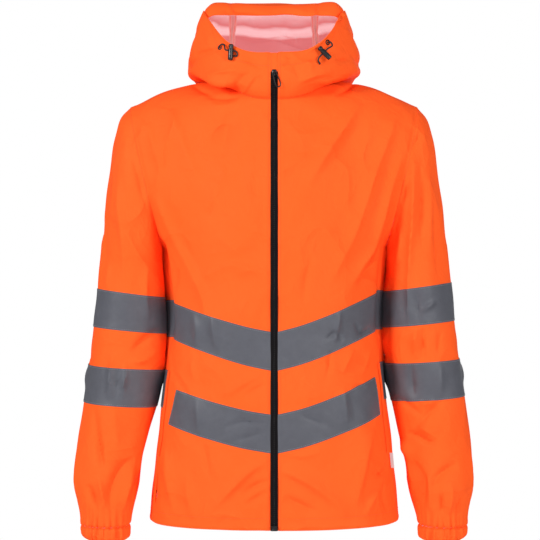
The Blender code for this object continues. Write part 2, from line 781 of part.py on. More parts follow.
def build_pockets(normals):
    """The welts of the in-seam pockets, on the fronts' side edges."""
    low, high = (row_number(BODY_ROWS, name) for name in WELT_ROWS)
    for side, word in SIDES:
        rows = panel_rows(side, True)[low : high + 1]
        strip, known = [], {}
        for row in rows:
            start = row[-2] + (row[-1] - row[-2]) * WELT_START
            turn = unit(normals[tuple(np.round(row[-2], 6))] + normals[tuple(np.round(row[-1], 6))])
            known[tuple(np.round(start, 6))] = turn
            known[tuple(np.round(row[-1], 6))] = normals[tuple(np.round(row[-1], 6))]
            strip.append([start, row[-1]])
        sheet = Cloth(quads_of(strip, side))
        wall(f"pocket_edge_{word}", sheet, known, WELT_THICK, "shell", WELT_LIFT + WELT_THICK)


def build_label(normals):
    """A blank label that stands out of the wearer's left side seam."""
    low, high = (panel_rows(1, True)[row_number(BODY_ROWS, name)][-1] for name in LABEL_ROWS)
    rings = []
    for share in LABEL_SPAN:
        foot = low + (high - low) * share
        out = unit(normals[tuple(np.round(high, 6))] * (1, 1, 0))
        side = np.array((out[1], -out[0], 0.0)) * LABEL_THICK / 2
        near, far = foot + out * 2 * CLEAR, foot + out * LABEL_REACH
        rings.append([near - side, near + side, far + side, far - side])
    add_object("side_label", *loft(rings), "label")


def on_hood(tree, x, z):
    """The front surface of the hood and its outward direction, at a place seen from the front."""
    place, outward, _, _ = tree.ray_cast(Vector((x, -1.0, z)), Vector((0, 1, 0)))
    return np.array(place), np.array(outward)


def build_cords():
    """On each side of the hood an eyelet, a barrel stop and the cord through them."""
    for side, word in SIDES:
        mesh = bpy.data.objects[f"hood_{word}"].data
        tree = BVHTree.FromPolygons([v.co for v in mesh.vertices], [p.vertices for p in mesh.polygons])
        (ex, ez), (sx, sz), (ax, az), hole = HOOD_FITTINGS[side]
        eye, outward = on_hood(tree, side * ex, ez)
        washer = (
            (EYELET_CLEAR, EYELET_INNER),
            (EYELET_CLEAR, EYELET_OUTER),
            (EYELET_CLEAR + EYELET_THICK, EYELET_OUTER),
            (EYELET_CLEAR + EYELET_THICK, EYELET_INNER),
        )
        add_object(f"cord_eyelet_{word}", *turned(washer, eye, outward, 14, False), "black")
        axis = unit(np.array((ax, 0.0, az)))
        reach = [on_hood(tree, side * sx + ax * t, sz + az * t)[0][1] for t in (0.0, 0.010, -0.010)]
        stop = np.array((side * sx, min(reach) - STOP_RADIUS - STOP_CLEAR, sz))
        profile = [(d * STOP_LONG, r * STOP_RADIUS) for d, r in STOP_PROFILE]
        barrel = add_object(f"cord_stop_{word}", *turned(profile, stop, axis), "black")
        centre = stop + axis * hole * STOP_LONG
        first, way, last = CORD_BOWS[side]
        bore = unit(np.array(way))
        flip = np.array((1.0, -1.0, 1.0))
        end, end_outward = on_hood(tree, side * CORD_END[side][0], CORD_END[side][1])
        keys = [eye + outward * d for d in CORD_ROOT]
        keys += [eye + np.array(step) * flip for step in first]
        keys += [centre + bore * d for d in CORD_THROUGH]
        keys += [centre + np.array(step) * flip for step in last]
        keys += [end + end_outward * d for d in CORD_ROOT[::-1]]
        rod = turned(((-0.012, STOP_HOLE), (0.012, STOP_HOLE)), centre, bore)
        cut(barrel, f"stop_hole_{word}", *rod, "DIFFERENCE")
        steps = (len(keys) - 1) * CORD_STEPS
        route = [smooth_between(keys, k / CORD_STEPS) for k in range(steps)] + [keys[-1]]
        add_object(f"hood_cord_{word}", *tube_along(route, CORD_RADIUS), "black")


def main():
    clear_scene()
    normals = build_panels()
    build_tapes(normals)
    build_zip()
    build_pockets(normals)
    build_label(normals)
    build_cords()


main()
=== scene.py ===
"""A hooded hi-vis work jacket, filled out as it is worn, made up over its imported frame.

Metres, +Z up. The wearer faces -Y, so the wearer's left is +X.
"""

import json
from functools import partial
from math import cos, pi, radians, sin

import bmesh
import bpy
import numpy as np
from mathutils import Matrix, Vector


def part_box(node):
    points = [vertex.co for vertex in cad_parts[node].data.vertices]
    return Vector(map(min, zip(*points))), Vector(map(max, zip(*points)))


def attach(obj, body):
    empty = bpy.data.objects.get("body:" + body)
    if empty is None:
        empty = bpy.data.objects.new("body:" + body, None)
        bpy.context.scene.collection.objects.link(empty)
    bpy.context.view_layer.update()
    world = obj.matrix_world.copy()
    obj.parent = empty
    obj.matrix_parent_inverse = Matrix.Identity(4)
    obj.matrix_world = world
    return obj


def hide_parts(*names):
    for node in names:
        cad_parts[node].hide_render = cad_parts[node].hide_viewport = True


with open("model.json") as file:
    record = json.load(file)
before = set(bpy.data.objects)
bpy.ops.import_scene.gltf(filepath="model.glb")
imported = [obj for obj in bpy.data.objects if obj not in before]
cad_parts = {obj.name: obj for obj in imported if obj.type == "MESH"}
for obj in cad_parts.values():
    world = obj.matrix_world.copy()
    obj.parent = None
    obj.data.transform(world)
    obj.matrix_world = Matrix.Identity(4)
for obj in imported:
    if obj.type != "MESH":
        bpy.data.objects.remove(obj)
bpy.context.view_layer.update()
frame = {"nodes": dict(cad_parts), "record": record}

# The stand: a pale studio floor below the jacket, a surround that is white to the camera and
# dimmer to the cloth, and four soft lamps, with the camera level with the jacket's middle.
FLOOR_HEIGHT = -1.45
FLOOR_HALF = 2.0
SURROUND_GLOW = 0.22
LAMPS = (
    # name, place, width, height, power, aim
    ("lamp_front_right", (-1.9, -1.9, 0.60), 0.6, 0.7, 43, (0.0, 0.0, -0.35)),
    ("lamp_front_left", (1.9, -2.2, 0.30), 0.9, 1.1, 32, (0.0, 0.0, -0.35)),
    ("lamp_by_camera", (0.35, -2.9, -0.25), 0.8, 0.8, 7, (0.0, 0.0, -0.2)),
    ("lamp_behind", (0.5, 2.6, 0.1), 1.8, 1.6, 13, (0.0, 0.0, -0.35)),
)
scene = bpy.context.scene
scene.view_settings.view_transform = "Standard"


def shown(name, data):
    """An object of its data, in the scene."""
    made = bpy.data.objects.new(name, data)
    scene.collection.objects.link(made)
    return made


camera = shown("camera", bpy.data.cameras.new("camera"))
camera.location = (-0.0067, -2.5, -0.3117)
camera.rotation_euler = (radians(90), 0, 0)
camera.data.sensor_width = 36
camera.data.lens = 100
scene.camera = camera

surround = bpy.data.worlds.new("white_surround")
surround.use_nodes = True
tree = surround.node_tree
soft = tree.nodes["Background"]
paper = tree.nodes.new("ShaderNodeBackground")
for light, strength in ((soft, SURROUND_GLOW), (paper, 1.0)):
    light.inputs["Color"].default_value = (1, 1, 1, 1)
    light.inputs["Strength"].default_value = strength
seen = tree.nodes.new("ShaderNodeLightPath")
choose = tree.nodes.new("ShaderNodeMixShader")
tree.links.new(seen.outputs["Is Camera Ray"], choose.inputs["Fac"])
tree.links.new(soft.outputs[0], choose.inputs[1])
tree.links.new(paper.outputs[0], choose.inputs[2])
tree.links.new(choose.outputs[0], tree.nodes["World Output"].inputs["Surface"])
scene.world = surround

for name, place, width, height, power, aim in LAMPS:
    lamp = bpy.data.lights.new(name, "AREA")
    lamp.shape = "RECTANGLE"
    lamp.size = width
    lamp.size_y = height
    lamp.energy = power
    hung = shown(name, lamp)
    hung.location = place
    hung.rotation_euler = (Vector(aim) - Vector(place)).to_track_quat("-Z", "Y").to_euler()

floor_mesh = bpy.data.meshes.new("studio_floor")
corners = [
    (x * FLOOR_HALF, y * FLOOR_HALF, FLOOR_HEIGHT) for x, y in ((-1, -1), (1, -1), (1, 1), (-1, 1))
]
floor_mesh.from_pydata(corners, [], [(0, 1, 2, 3)])
floor_paint = bpy.data.materials.new("studio_floor")
floor_paint.use_nodes = True
floor_shader = floor_paint.node_tree.nodes["Principled BSDF"]
floor_shader.inputs["Base Color"].default_value = (0.86, 0.86, 0.86, 1)
floor_shader.inputs["Roughness"].default_value = 0.8
floor_mesh.materials.append(floor_paint)
shown("studio_floor", floor_mesh)

# The shell cloth: a light polyester woven plain, dyed fluorescent orange, with a white
# waterproof coat on its inner face that the dye shows through as pink.
THREADS = 0.0006


class Finish:
    """A material being made: a colour that wanders between two, under bumps laid in turn."""

    def __init__(self, name, colour, roughness, **sockets):
        """What is the same all over is set on the shader's own sockets."""
        self.material = bpy.data.materials.new(name)
        self.material.use_nodes = True
        self.tree = self.material.node_tree
        self.shader = self.tree.nodes["Principled BSDF"].inputs
        self.shader["Base Color"].default_value = (*colour, 1)
        self.shader["Roughness"].default_value = roughness
        for socket, value in sockets.items():
            self.shader[socket.replace("_", " ")].default_value = value
        self.place = self.tree.nodes.new("ShaderNodeTexCoord").outputs["Object"]
        self.bump = None

    def texture(self, kind, vector=None, **values):
        """A texture's pattern, with its settings and its sockets given by their names."""
        made = self.tree.nodes.new(f"ShaderNodeTex{kind}")
        for name, value in values.items():
            if name.islower():
                setattr(made, name, value)
            else:
                made.inputs[name.replace("_", " ")].default_value = value
        self.tree.links.new(vector or self.place, made.inputs["Vector"])
        return made.outputs["Distance" if kind == "Voronoi" else "Fac"]

    def weave(self):
        """The height of over-and-under threads, from the cloth's own measure."""
        measure = self.tree.nodes.new("ShaderNodeUVMap").outputs["UV"]
        crossed = self.tree.nodes.new("ShaderNodeMath")
        crossed.operation = "MULTIPLY"
        for k, direction in enumerate("XY"):
            threads = self.texture("Wave", measure, Scale=1 / THREADS / 20, bands_direction=direction)
            self.tree.links.new(threads, crossed.inputs[k])
        return crossed.outputs[0]

    def colour(self, share, low, high, socket="Base Color"):
        """Run a socket's colour between two as a share goes from 0 to 1."""
        ramp = self.tree.nodes.new("ShaderNodeValToRGB")
        ramp.color_ramp.elements[0].color = (*low, 1)
        ramp.color_ramp.elements[1].color = (*high, 1)
        self.tree.links.new(share, ramp.inputs["Fac"])
        self.tree.links.new(ramp.outputs["Color"], self.shader[socket])
        return ramp.color_ramp.elements

    def relief(self, height, distance, strength):
        """Lay a bump from a height over the bumps before it."""
        bump = self.tree.nodes.new("ShaderNodeBump")
        bump.inputs["Distance"].default_value = distance
        bump.inputs["Strength"].default_value = strength
        self.tree.links.new(height, bump.inputs["Height"])
        if self.bump:
            self.tree.links.new(self.bump, bump.inputs["Normal"])
        self.bump = bump.outputs["Normal"]
        self.tree.links.new(self.bump, self.shader["Normal"])


def shell_cloth():
    """Fluorescent orange cloth with small crumples. It has a painted red glow standing in for the dye's
    fluorescence, and painted shade takes the glow away deep in folds and gaps.
    """
    # Painted glow: a steady red emission, so the cloth stays red where the light falls off.
    cloth = Finish(
        "shell_cloth", (1.0, 0.148, 0.024), 0.68,
        Emission_Color=(1.0, 0.01, 0.0, 1), Emission_Strength=0.26, Specular_IOR_Level=0.06,
    )
    cloth.colour(cloth.texture("Noise", Scale=9.0, Detail=3.0), (1.0, 0.138, 0.020), (1.0, 0.158, 0.028))
    # Painted shade: ambient occlusion dims the red glow deep in folds, creases and the gaps beside the arms.
    light = cloth.tree.nodes.new("ShaderNodeAmbientOcclusion")
    light.samples = 6
    light.inputs["Distance"].default_value = 0.055
    deep, unshaded_glow_stop = cloth.colour(light.outputs["AO"], (0.0, 0.0, 0.0), (1.0, 0.01, 0.0), "Emission Color")
    deep.position = 0.10
    unshaded_glow_stop.position = 0.62
    creased = cloth.texture(
        "Noise", noise_type="RIDGED_MULTIFRACTAL",
        Scale=11.0, Detail=2.0, Distortion=0.4, Offset=0.9, Gain=1.2,
    )
    cloth.relief(cloth.weave(), 0.0001, 0.25)
    cloth.relief(cloth.texture("Noise", Scale=130.0, Detail=2.0), 0.0004, 0.25)
    cloth.relief(cloth.texture("Noise", Scale=34.0, Detail=3.0, Distortion=0.6), 0.0040, 0.55)
    cloth.relief(creased, 0.0060, 0.60)
    return cloth.material


def coat_inside(name):
    """The white coat on the cloth's inner face, tinted by the dye behind it, with a painted pink glow."""
    # Painted glow: a steady pink emission that brightens the coat as if light came through the cloth.
    coat = Finish(name, (0.86, 0.5, 0.5), 0.42, Emission_Color=(1.0, 0.36, 0.36, 1), Emission_Strength=0.17)
    coat.colour(coat.texture("Noise", Scale=14.0, Detail=3.0), (0.74, 0.42, 0.43), (0.84, 0.52, 0.54))
    coat.relief(coat.weave(), 0.0001, 0.15)
    coat.relief(coat.texture("Noise", Scale=40.0, Detail=3.0, Distortion=0.5), 0.002, 0.3)
    return coat


SHELL = shell_cloth()
COAT = coat_inside("coat_inside").material

# Panels: each is cut as a grid that was set out on the jacket's form. The grid is read back
# from the imported panel, drawn smooth, creased, and made up as one thin double skin.
PANEL_WALL = 0.0012
CUFF_WALL = 0.0022
CLOTH_THICK = 0.0006
SAMPLE = 0.0048
TURN_IN = 0.0022
SAME_LENGTH = 4e-6


def outer_face(name, wall, half=0):
    """The points and triangles of a panel's outer face, without its edges and inner face."""
    mesh = frame["nodes"][name].data
    mesh.calc_loop_triangles()
    known, points, number = {}, [], []
    for vertex in mesh.vertices:
        key = tuple(round(c, 5) for c in vertex.co)
        if key not in known:
            known[key] = len(points)
            points.append(np.array(vertex.co))
        number.append(known[key])
    faces = []
    for triangle in mesh.loop_triangles:
        a, b, c = (number[i] for i in triangle.vertices)
        spans = [np.linalg.norm(points[i] - points[j]) for i, j in ((a, b), (b, c), (c, a))]
        if min(abs(span - wall) for span in spans) > SAME_LENGTH:
            faces.append((a, b, c))
    group = list(range(len(points)))

    def root(i):
        while group[i] != i:
            group[i] = group[group[i]]
            i = group[i]
        return i

    for a, b, c in faces:
        group[root(a)] = root(b)
        group[root(b)] = root(c)
    areas = {}
    for a, b, c in faces:
        cross = np.cross(points[b] - points[a], points[c] - points[a])
        areas[root(a)] = areas.get(root(a), 0) + np.linalg.norm(cross) / 2
    outer = max(areas, key=areas.get)
    faces = [face for face in faces if root(face[0]) == outer]
    if half:
        faces = [f for f in faces if half * sum(points[i][0] for i in f) > 0]
    return points, faces


def links_of(faces):
    """For each directed edge the third corner of its triangle, and each point's neighbours."""
    third, near = {}, {}
    for face in faces:
        for k in range(3):
            a, b, c = face[k], face[k - 2], face[k - 1]
            third[a, b] = c
            near.setdefault(a, set()).update((b, c))
    return third, near


def beyond(third, a, b, used):
    """The corner beyond an edge that isn't used yet."""
    for edge in ((a, b), (b, a)):
        c = third.get(edge)
        if c is not None and c not in used:
            return c
    return None


def panel_grid(name, columns, start, half=0, wall=PANEL_WALL):
    """A panel's grid of points, by rows, from the corner nearest to a place."""
    points, faces = outer_face(name, wall, half)
    third, near = links_of(faces)
    ahead = {a: b for a, b in third if (b, a) not in third}
    behind = {b: a for a, b in ahead.items()}
    corners = {i for i in ahead if len(near[i]) < 4}
    first = min(corners, key=lambda i: np.linalg.norm(points[i] - np.array(start)))
    sides = []
    for step in (ahead, behind):
        path = [first, step[first]]
        while path[-1] not in corners:
            path.append(step[path[-1]])
        sides.append(path)
    row, edge = sides if len(sides[0]) == columns else sides[::-1]
    rows, used = [row], set(row)
    for start_point in edge[1:]:
        up = [start_point]
        used.add(start_point)
        for a, b in zip(row, row[1:]):
            c = beyond(third, a, b, used - {up[-1]})
            if c == up[-1]:
                c = beyond(third, b, up[-1], used)
            up.append(c)
            used.add(c)
        rows.append(up)
        row = up
    return np.array([[points[i] for i in row] for row in rows])


def ring_grid(name, rings, wall=PANEL_WALL):
    """A tube's grid of points, by rings from its lowest, each from its inner point forwards."""
    points, faces = outer_face(name, wall)
    third, near = links_of(faces)
    ahead = {a: b for a, b in third if (b, a) not in third}
    loops, left = [], set(ahead)
    while left:
        loop = [left.pop()]
        while ahead[loop[-1]] != loop[0]:
            loop.append(ahead[loop[-1]])
            left.discard(loop[-1])
        loops.append(loop)
    loop = min(loops, key=lambda ring: np.mean([points[i][2] for i in ring]))
    at = min(range(len(loop)), key=lambda k: abs(points[loop[k]][0]))
    loop = loop[at:] + loop[:at]
    if points[loop[1]][1] > points[loop[0]][1]:
        loop = loop[:1] + loop[:0:-1]
    rows, used = [loop], set(loop)
    for _ in range(rings - 1):
        row = rows[-1]
        up = [beyond(third, a, b, used) for a, b in zip(row, row[1:] + row[:1])]
        used.update(up)
        rows.append(up)
    return np.array([[points[i] for i in row] for row in rows])


def drawn_smooth(keys, at, closed=False, corners=(), before=None):
    """Smooth curves through rows of keys, at places counted in keys along the first axis."""
    if closed:
        keys = np.concatenate([keys[-1:], keys, keys[:2]])
        at = at + 1
    step = np.diff(keys, axis=0)
    span = np.linalg.norm(step, axis=2).mean(axis=1)
    slope = step / span[:, None, None]
    share = (span[1:] / (span[:-1] + span[1:]))[:, None, None]
    turn = np.empty_like(keys)
    turn[1:-1] = slope[:-1] * share + slope[1:] * (1 - share)
    turn[0] = 1.5 * slope[0] - 0.5 * turn[1]
    turn[-1] = 1.5 * slope[-1] - 0.5 * turn[-2]
    if before is not None:
        known = ~np.isnan(before[:, 0])
        turn[0, known] = (keys[1, known] - before[known]) / (2 * span[0])
    arrive, leave = turn.copy(), turn.copy()
    for key, column in corners:
        arrive[key, column] = 1.5 * slope[key - 1, column] - 0.5 * turn[key - 1, column]
        leave[key, column] = 1.5 * slope[key, column] - 0.5 * turn[key + 1, column]
    i = np.clip(np.floor(at + 1e-9).astype(int), 0, len(span) - 1)
    t = (at - i)[:, None, None]
    h = span[i][:, None, None]
    near, far = keys[i], keys[i + 1]
    rise, fall = leave[i] * h, arrive[i + 1] * h
    return (
        (2 * t**3 - 3 * t**2 + 1) * near + (t**3 - 2 * t**2 + t) * rise
        + (3 * t**2 - 2 * t**3) * far + (t**3 - t**2) * fall
    )


EDGE_STEPS = (0.0, 0.0009, 0.0020, 0.0034, 0.0052, 0.0076)


def places(keys, low_edge=True, high_edge=True, closed=False, sample=SAMPLE):
    """Where to sample along the first axis: evenly, and closer together beside seams."""
    steps = np.diff(np.concatenate([keys, keys[:1]]) if closed else keys, axis=0)
    span = np.linalg.norm(steps, axis=2).mean(axis=1)
    found = set()
    for i, length in enumerate(span):
        count = max(1, int(np.ceil(length / sample)))
        found.update(i + k / count for k in range(count))
    if not closed:
        found.add(float(len(span)))
        for edge, sign, length in ((0.0, 1, span[0]), (float(len(span)), -1, span[-1])):
            if (low_edge if sign > 0 else high_edge):
                clear = EDGE_STEPS[-1] / length
                found = {a for a in found if abs(a - edge) >= clear * 1.15}
                found.update(edge + sign * step / length for step in EDGE_STEPS)
    return np.array(sorted(found))


def outward(points, sign, closed=False):
    """Unit directions out of a surface at each of its points."""
    if closed:
        around = np.roll(points, -1, axis=1) - np.roll(points, 1, axis=1)
    else:
        around = np.gradient(points, axis=1)
    normal = np.cross(around, np.gradient(points, axis=0)) * sign
    return normal / np.maximum(np.linalg.norm(normal, axis=2), 1e-12)[..., None]


VIEWS = {
    # view: the two measures seen, the direction out
    "front": ((0, 2), (0, -1, 0)),
    "back": ((0, 2), (0, 1, 0)),
    "left": ((1, 2), (1, 0, 0)),
    "right": ((1, 2), (-1, 0, 0)),
    "top": ((0, 1), (0, 0, 1)),
}
FOLD_DEPTH = 2.3
STEEPEST_FOLD = 1.5
LEAST_LIMIT = 0.8
CREASE_STEPS = 16
CREASE_FALL = 1.3
CREASE_REACH = 3.2
FACING = (0.05, 0.40)


def bell(values, middle, breadth, power=2):
    """1 at a middle, and falling away to 0 on both sides of it."""
    return np.exp(-(((values - middle) / breadth) ** power))


def crease_height(points, normals, creases, depth):
    """How far creases lift or sink a surface. Each is a path in millimetres seen in a view, a
    breadth to its left and right, a height in millimetres, and where along it is highest."""
    total = np.zeros(points.shape[:2])
    for view, path, (left, right), height, peak in creases:
        measures, facing = VIEWS[view]
        seen = points[..., measures]
        faced = np.clip((normals @ np.array(facing, float) - FACING[0]) / (FACING[1] - FACING[0]), 0, 1)
        keys = np.array(path, float)[:, None, :] / 1000
        line = drawn_smooth(keys, np.linspace(0, len(path) - 1, CREASE_STEPS + 1))[:, 0]
        reach = CREASE_REACH * max(left, right) / 1000
        low, high = line.min(axis=0) - reach, line.max(axis=0) + reach
        near = (faced > 0) & np.all((seen > low) & (seen < high), axis=2)
        if not near.any():
            continue
        at = seen[near]
        best = np.full(len(at), 1e9)
        along = np.zeros(len(at))
        away = np.zeros(len(at))
        for k, (a, b) in enumerate(zip(line, line[1:])):
            run = b - a
            off = at - a
            t = np.clip(off @ run / (run @ run), 0, 1)
            gap = off - t[:, None] * run
            distance = np.linalg.norm(gap, axis=1)
            closer = distance < best
            best[closer] = distance[closer]
            along[closer] = (k + t[closer]) / CREASE_STEPS
            away[closer] = run[0] * gap[closer, 1] - run[1] * gap[closer, 0]
        breadth = np.where(away > 0, left, right) / 1000
        swell = np.sin(pi * np.clip(along, 0, 1) ** (np.log(0.5) / np.log(peak)))
        shape = bell(best, 0, breadth, CREASE_FALL)
        limit = STEEPEST_FOLD * min(left, right) + LEAST_LIMIT
        deep = np.sign(height) * min(abs(height) * depth, limit) / 1000
        total[near] += faced[near] ** 0.5 * swell * shape * deep
    return total


WAVES = 12
WAVE_LENGTHS = (0.045, 0.12)
WAVES_TOGETHER = 2.4


def undulation(points, amplitude):
    """The slight unevenness of hung cloth, the same for every piece at the same place."""
    drawn = np.random.default_rng(3)
    total = np.zeros(points.shape[:2])
    for _ in range(WAVES):
        direction = drawn.normal(size=3) * (1.0, 1.0, 0.45)
        direction /= np.linalg.norm(direction)
        length = drawn.uniform(*WAVE_LENGTHS)
        total += np.sin(points @ direction * 2 * pi / length + drawn.uniform(0, 2 * pi))
    return amplitude * total / WAVES_TOGETHER


def from_edge(grid, edge):
    """A grid taken by rows inwards from an edge: low, high, start or end, or its first letter."""
    if edge[0] in "se":
        grid = np.swapaxes(grid, 0, 1)
    return grid[::-1] if edge[0] in "he" else grid


def runs(points):
    """How far each point lies from the first, along a line or along each column of a grid."""
    steps = np.linalg.norm(np.diff(points, axis=0), axis=-1)
    return np.concatenate([np.zeros((1, *steps.shape[1:])), np.cumsum(steps, axis=0)])


def read_at(at, far, values):
    """Points or directions read at distances along a line."""
    return np.stack([np.interp(at, far, values[:, c]) for c in range(3)], axis=-1)


GROOVE_DEEP = 0.0009
GROOVE_WIDE = 0.0016
SWELL_HIGH = 0.0004
SWELL_PLACE = 0.0055


def seam_dip(points, edges):
    """How far the cloth sinks towards its sewn edges, so that two panels make a groove."""
    dip = np.zeros(points.shape[:2])
    for edge in edges:
        distance = runs(from_edge(points, edge))
        sinking = from_edge(dip, edge)
        sinking -= GROOVE_DEEP * bell(distance, 0, GROOVE_WIDE, 1.5)
        sinking += SWELL_HIGH * bell(distance, SWELL_PLACE, 0.003)
    return dip


class Skin:
    """A panel's smooth outer surface: its points, outward directions and places in its grid."""

    def __init__(self, points, normals, ups, acrosses, closed=False):
        self.points, self.normals = points, normals
        self.ups, self.acrosses, self.closed = ups, acrosses, closed

    def part(self, low, high, first=None, last=None):
        """The part of the skin between two rows, and between two columns."""
        rows = (self.ups >= low - 1e-6) & (self.ups <= high + 1e-6)
        columns = np.ones(len(self.acrosses), bool)
        if first is not None:
            columns = (self.acrosses >= first - 1e-6) & (self.acrosses <= last + 1e-6)
        closed = self.closed and first is None
        points = self.points[rows][:, columns]
        normals = self.normals[rows][:, columns]
        return Skin(points, normals, self.ups[rows], self.acrosses[columns], closed)

    def line(self, edge, distance, lift=0.0):
        """Points and directions along a line at a distance in from an edge."""
        points, normals = from_edge(self.points, edge), from_edge(self.normals, edge)
        columns = range(points.shape[1])
        far = runs(points)
        placed = np.array([read_at(distance, far[:, k], points[:, k]) for k in columns])
        turned = np.array([read_at(distance, far[:, k], normals[:, k]) for k in columns])
        turned /= np.linalg.norm(turned, axis=1)[:, None]
        if self.closed and edge in ("low", "high"):
            placed, turned = np.vstack([placed, placed[:1]]), np.vstack([turned, turned[:1]])
        return placed + turned * lift, turned


def away_from(points, seam, reach):
    """0 on a seam, rising to 1 away from it."""
    flat = points.reshape(-1, 3)
    nearest = np.full(len(flat), 1e9)
    for place in seam:
        nearest = np.minimum(nearest, np.sum((flat - place) ** 2, axis=1))
    return (1 - np.exp(-nearest / reach**2)).reshape(points.shape[:2])


OVERLAP = 0.0004


def cut_skin(grid, side, creases, closed=False, corners=(), before=None, seams="lhse", uneven=0.0008,
             shape=None, sample=SAMPLE, fixed=(), depth=FOLD_DEPTH, sunk="lhse"):
    """A panel's surface: its grid drawn smooth, then creased, uneven and sunk at its seams."""
    ups = places(grid, "l" in seams, "h" in seams, sample=sample)
    acrosses = places(grid.transpose(1, 0, 2), "s" in seams, "e" in seams, closed, sample)
    if before is not None:
        whole = np.concatenate([before[:, None], grid], axis=1)
        rows = drawn_smooth(whole, ups, corners=[(k, c + 1) for k, c in corners])
        ghost, rows = rows[:, 0], rows[:, 1:]
    else:
        rows, ghost = drawn_smooth(grid, ups, corners=corners), None
    points = drawn_smooth(rows.transpose(1, 0, 2), acrosses, closed, before=ghost).transpose(1, 0, 2)
    normals = outward(points, side, closed)
    height = crease_height(points, normals, creases, depth) + undulation(points, uneven)
    if shape:
        height = height + shape(points)
    height += seam_dip(points, [edge for edge in seams if edge in sunk])
    for seam, reach in fixed:
        height *= away_from(points, seam, reach)
    points = points + normals * height[..., None]
    turned = outward(points, side, closed)
    for edge in seams:
        laid = from_edge(points, edge)
        step = laid[0] - laid[1]
        laid[0] += OVERLAP * step / np.maximum(np.linalg.norm(step, axis=1), 1e-9)[:, None]
    return Skin(points, turned, ups, acrosses, closed)


def turned_over(points, normals):
    """Whether a grid of points, taken by rows, faces away from its normals."""
    across, up = np.gradient(points, axis=1), np.gradient(points, axis=0)
    return np.sum(np.cross(across, up) * normals) < 0


def faces_between(rows, columns, closed, flip):
    """Quads of a grid of points counted by rows."""
    r, c = np.meshgrid(np.arange(rows - 1), np.arange(columns if closed else columns - 1), indexing="ij")
    a = r * columns + c
    b = r * columns + (c + 1) % columns
    quads = np.stack([a, b, b + columns, a + columns], axis=-1).reshape(-1, 4)
    return quads[:, ::-1] if flip else quads


def rim_of(rows, columns, closed):
    """The points round the edge of a grid: one loop, or two where it is a tube."""
    if closed:
        return [list(range(columns)), [(rows - 1) * columns + c for c in range(columns)][::-1]]
    low = list(range(columns))
    end = [r * columns + columns - 1 for r in range(1, rows)]
    high = [(rows - 1) * columns + c for c in range(columns - 2, -1, -1)]
    start = [r * columns for r in range(rows - 2, 0, -1)]
    return [low + end + high + start]


def made_up(name, skins, outside, inside, thick=CLOTH_THICK, lift=0.0, turn_in=TURN_IN):
    """One mesh of one or more skins: outer face, inner face, and edges turned in."""
    points, faces, paints, measures = [], [], [], []
    for skin in skins:
        rows, columns = skin.points.shape[:2]
        flip = turned_over(skin.points, skin.normals)
        base = sum(len(block) for block in points)
        outer = skin.points + skin.normals * lift
        inner = outer - skin.normals * thick
        up = runs(skin.points)
        across = runs(skin.points.transpose(1, 0, 2)).T
        across = across - across.mean(axis=1)[:, None] if not skin.closed else across
        measure = np.stack([across + 0.5, up + 0.5], axis=-1).reshape(-1, 2)
        flat_outer, flat_inner = outer.reshape(-1, 3), inner.reshape(-1, 3)
        count = rows * columns
        points += [flat_outer, flat_inner]
        measures += [measure, measure]
        quads = faces_between(rows, columns, skin.closed, flip)
        faces += [quads + base, quads[:, [0, 3, 2, 1]] + base + count]
        paints += [0] * len(quads) + [1] * len(quads)
        turned = skin.normals.reshape(-1, 3)
        for loop in rim_of(rows, columns, skin.closed):
            loop = np.array(loop)
            if flip:
                loop = loop[::-1]
            size = len(loop)
            start = sum(len(block) for block in points)
            points.append(flat_outer[loop] - turned[loop] * (thick + turn_in))
            measures.append(measure[loop])
            k = np.arange(size)
            n = (k + 1) % size
            tops, ends = loop + base, start + k
            inners = loop + base + count
            faces.append(np.stack([tops[n], tops[k], ends[k], ends[n]], axis=-1))
            faces.append(np.stack([ends[n], ends[k], inners[k], inners[n]], axis=-1))
            paints += [0] * 2 * size
    points, faces = np.concatenate(points), np.concatenate(faces)
    measures = np.concatenate(measures)
    mesh = bpy.data.meshes.new(name)
    mesh.from_pydata(points.tolist(), [], faces.tolist())
    mesh.materials.append(outside)
    mesh.materials.append(inside)
    mesh.polygons.foreach_set("material_index", paints)
    layer = mesh.uv_layers.new(name="UVMap")
    layer.data.foreach_set("uv", measures[faces.reshape(-1)].astype(float).reshape(-1))
    mesh.shade_smooth()
    mesh.set_sharp_from_angle(angle=radians(55))
    return shown(name, mesh)


def dress(made, node=None, body="jacket"):
    """Enter a made piece in the frame: the body it rides and the solid it stands for."""
    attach(made, body)
    if node:
        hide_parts(node)


# Stitching: lockstitch in polyester thread, laid along lines on the made-up cloth. Each
# stitch is a small bar, rounded over and tucked in at its ends.
STITCH_PITCH = 0.0031
STITCH_LONG = 0.0024
STITCH_THICK = 0.00030
STITCH_LIFT = 0.0001
STITCH_AIM = 0.0004
STITCH_SIDES = 5
STITCH_PROFILE = (
    # along, size, height
    (-0.5, 0.35, -0.8), (-0.33, 1.0, 0.1), (0.33, 1.0, 0.1), (0.5, 0.35, -0.8),
)


def twisted_thread(name, colour, painted_glow):
    """Thread that shows its twist, with a painted orange glow of a given strength."""
    thread = Finish(name, colour, 0.5, Emission_Strength=painted_glow, Emission_Color=(1.0, 0.03, 0.0, 1))
    twist = thread.texture("Wave", Scale=260.0, Distortion=1.0)
    thread.colour(twist, tuple(0.86 * c for c in colour), colour)
    thread.relief(twist, 0.0001, 0.3)
    return thread.material


# Painted glow: the orange thread is given a steady red emission, like the shell.
ORANGE_THREAD = twisted_thread("orange_thread", (1.0, 0.11, 0.012), 0.22)


def along_edges(skin, lift=STITCH_LIFT, **edges):
    """Lines to sew along, each at its distance in from an edge of a skin."""
    return [skin.line(edge, distance, lift) for edge, distance in edges.items()]


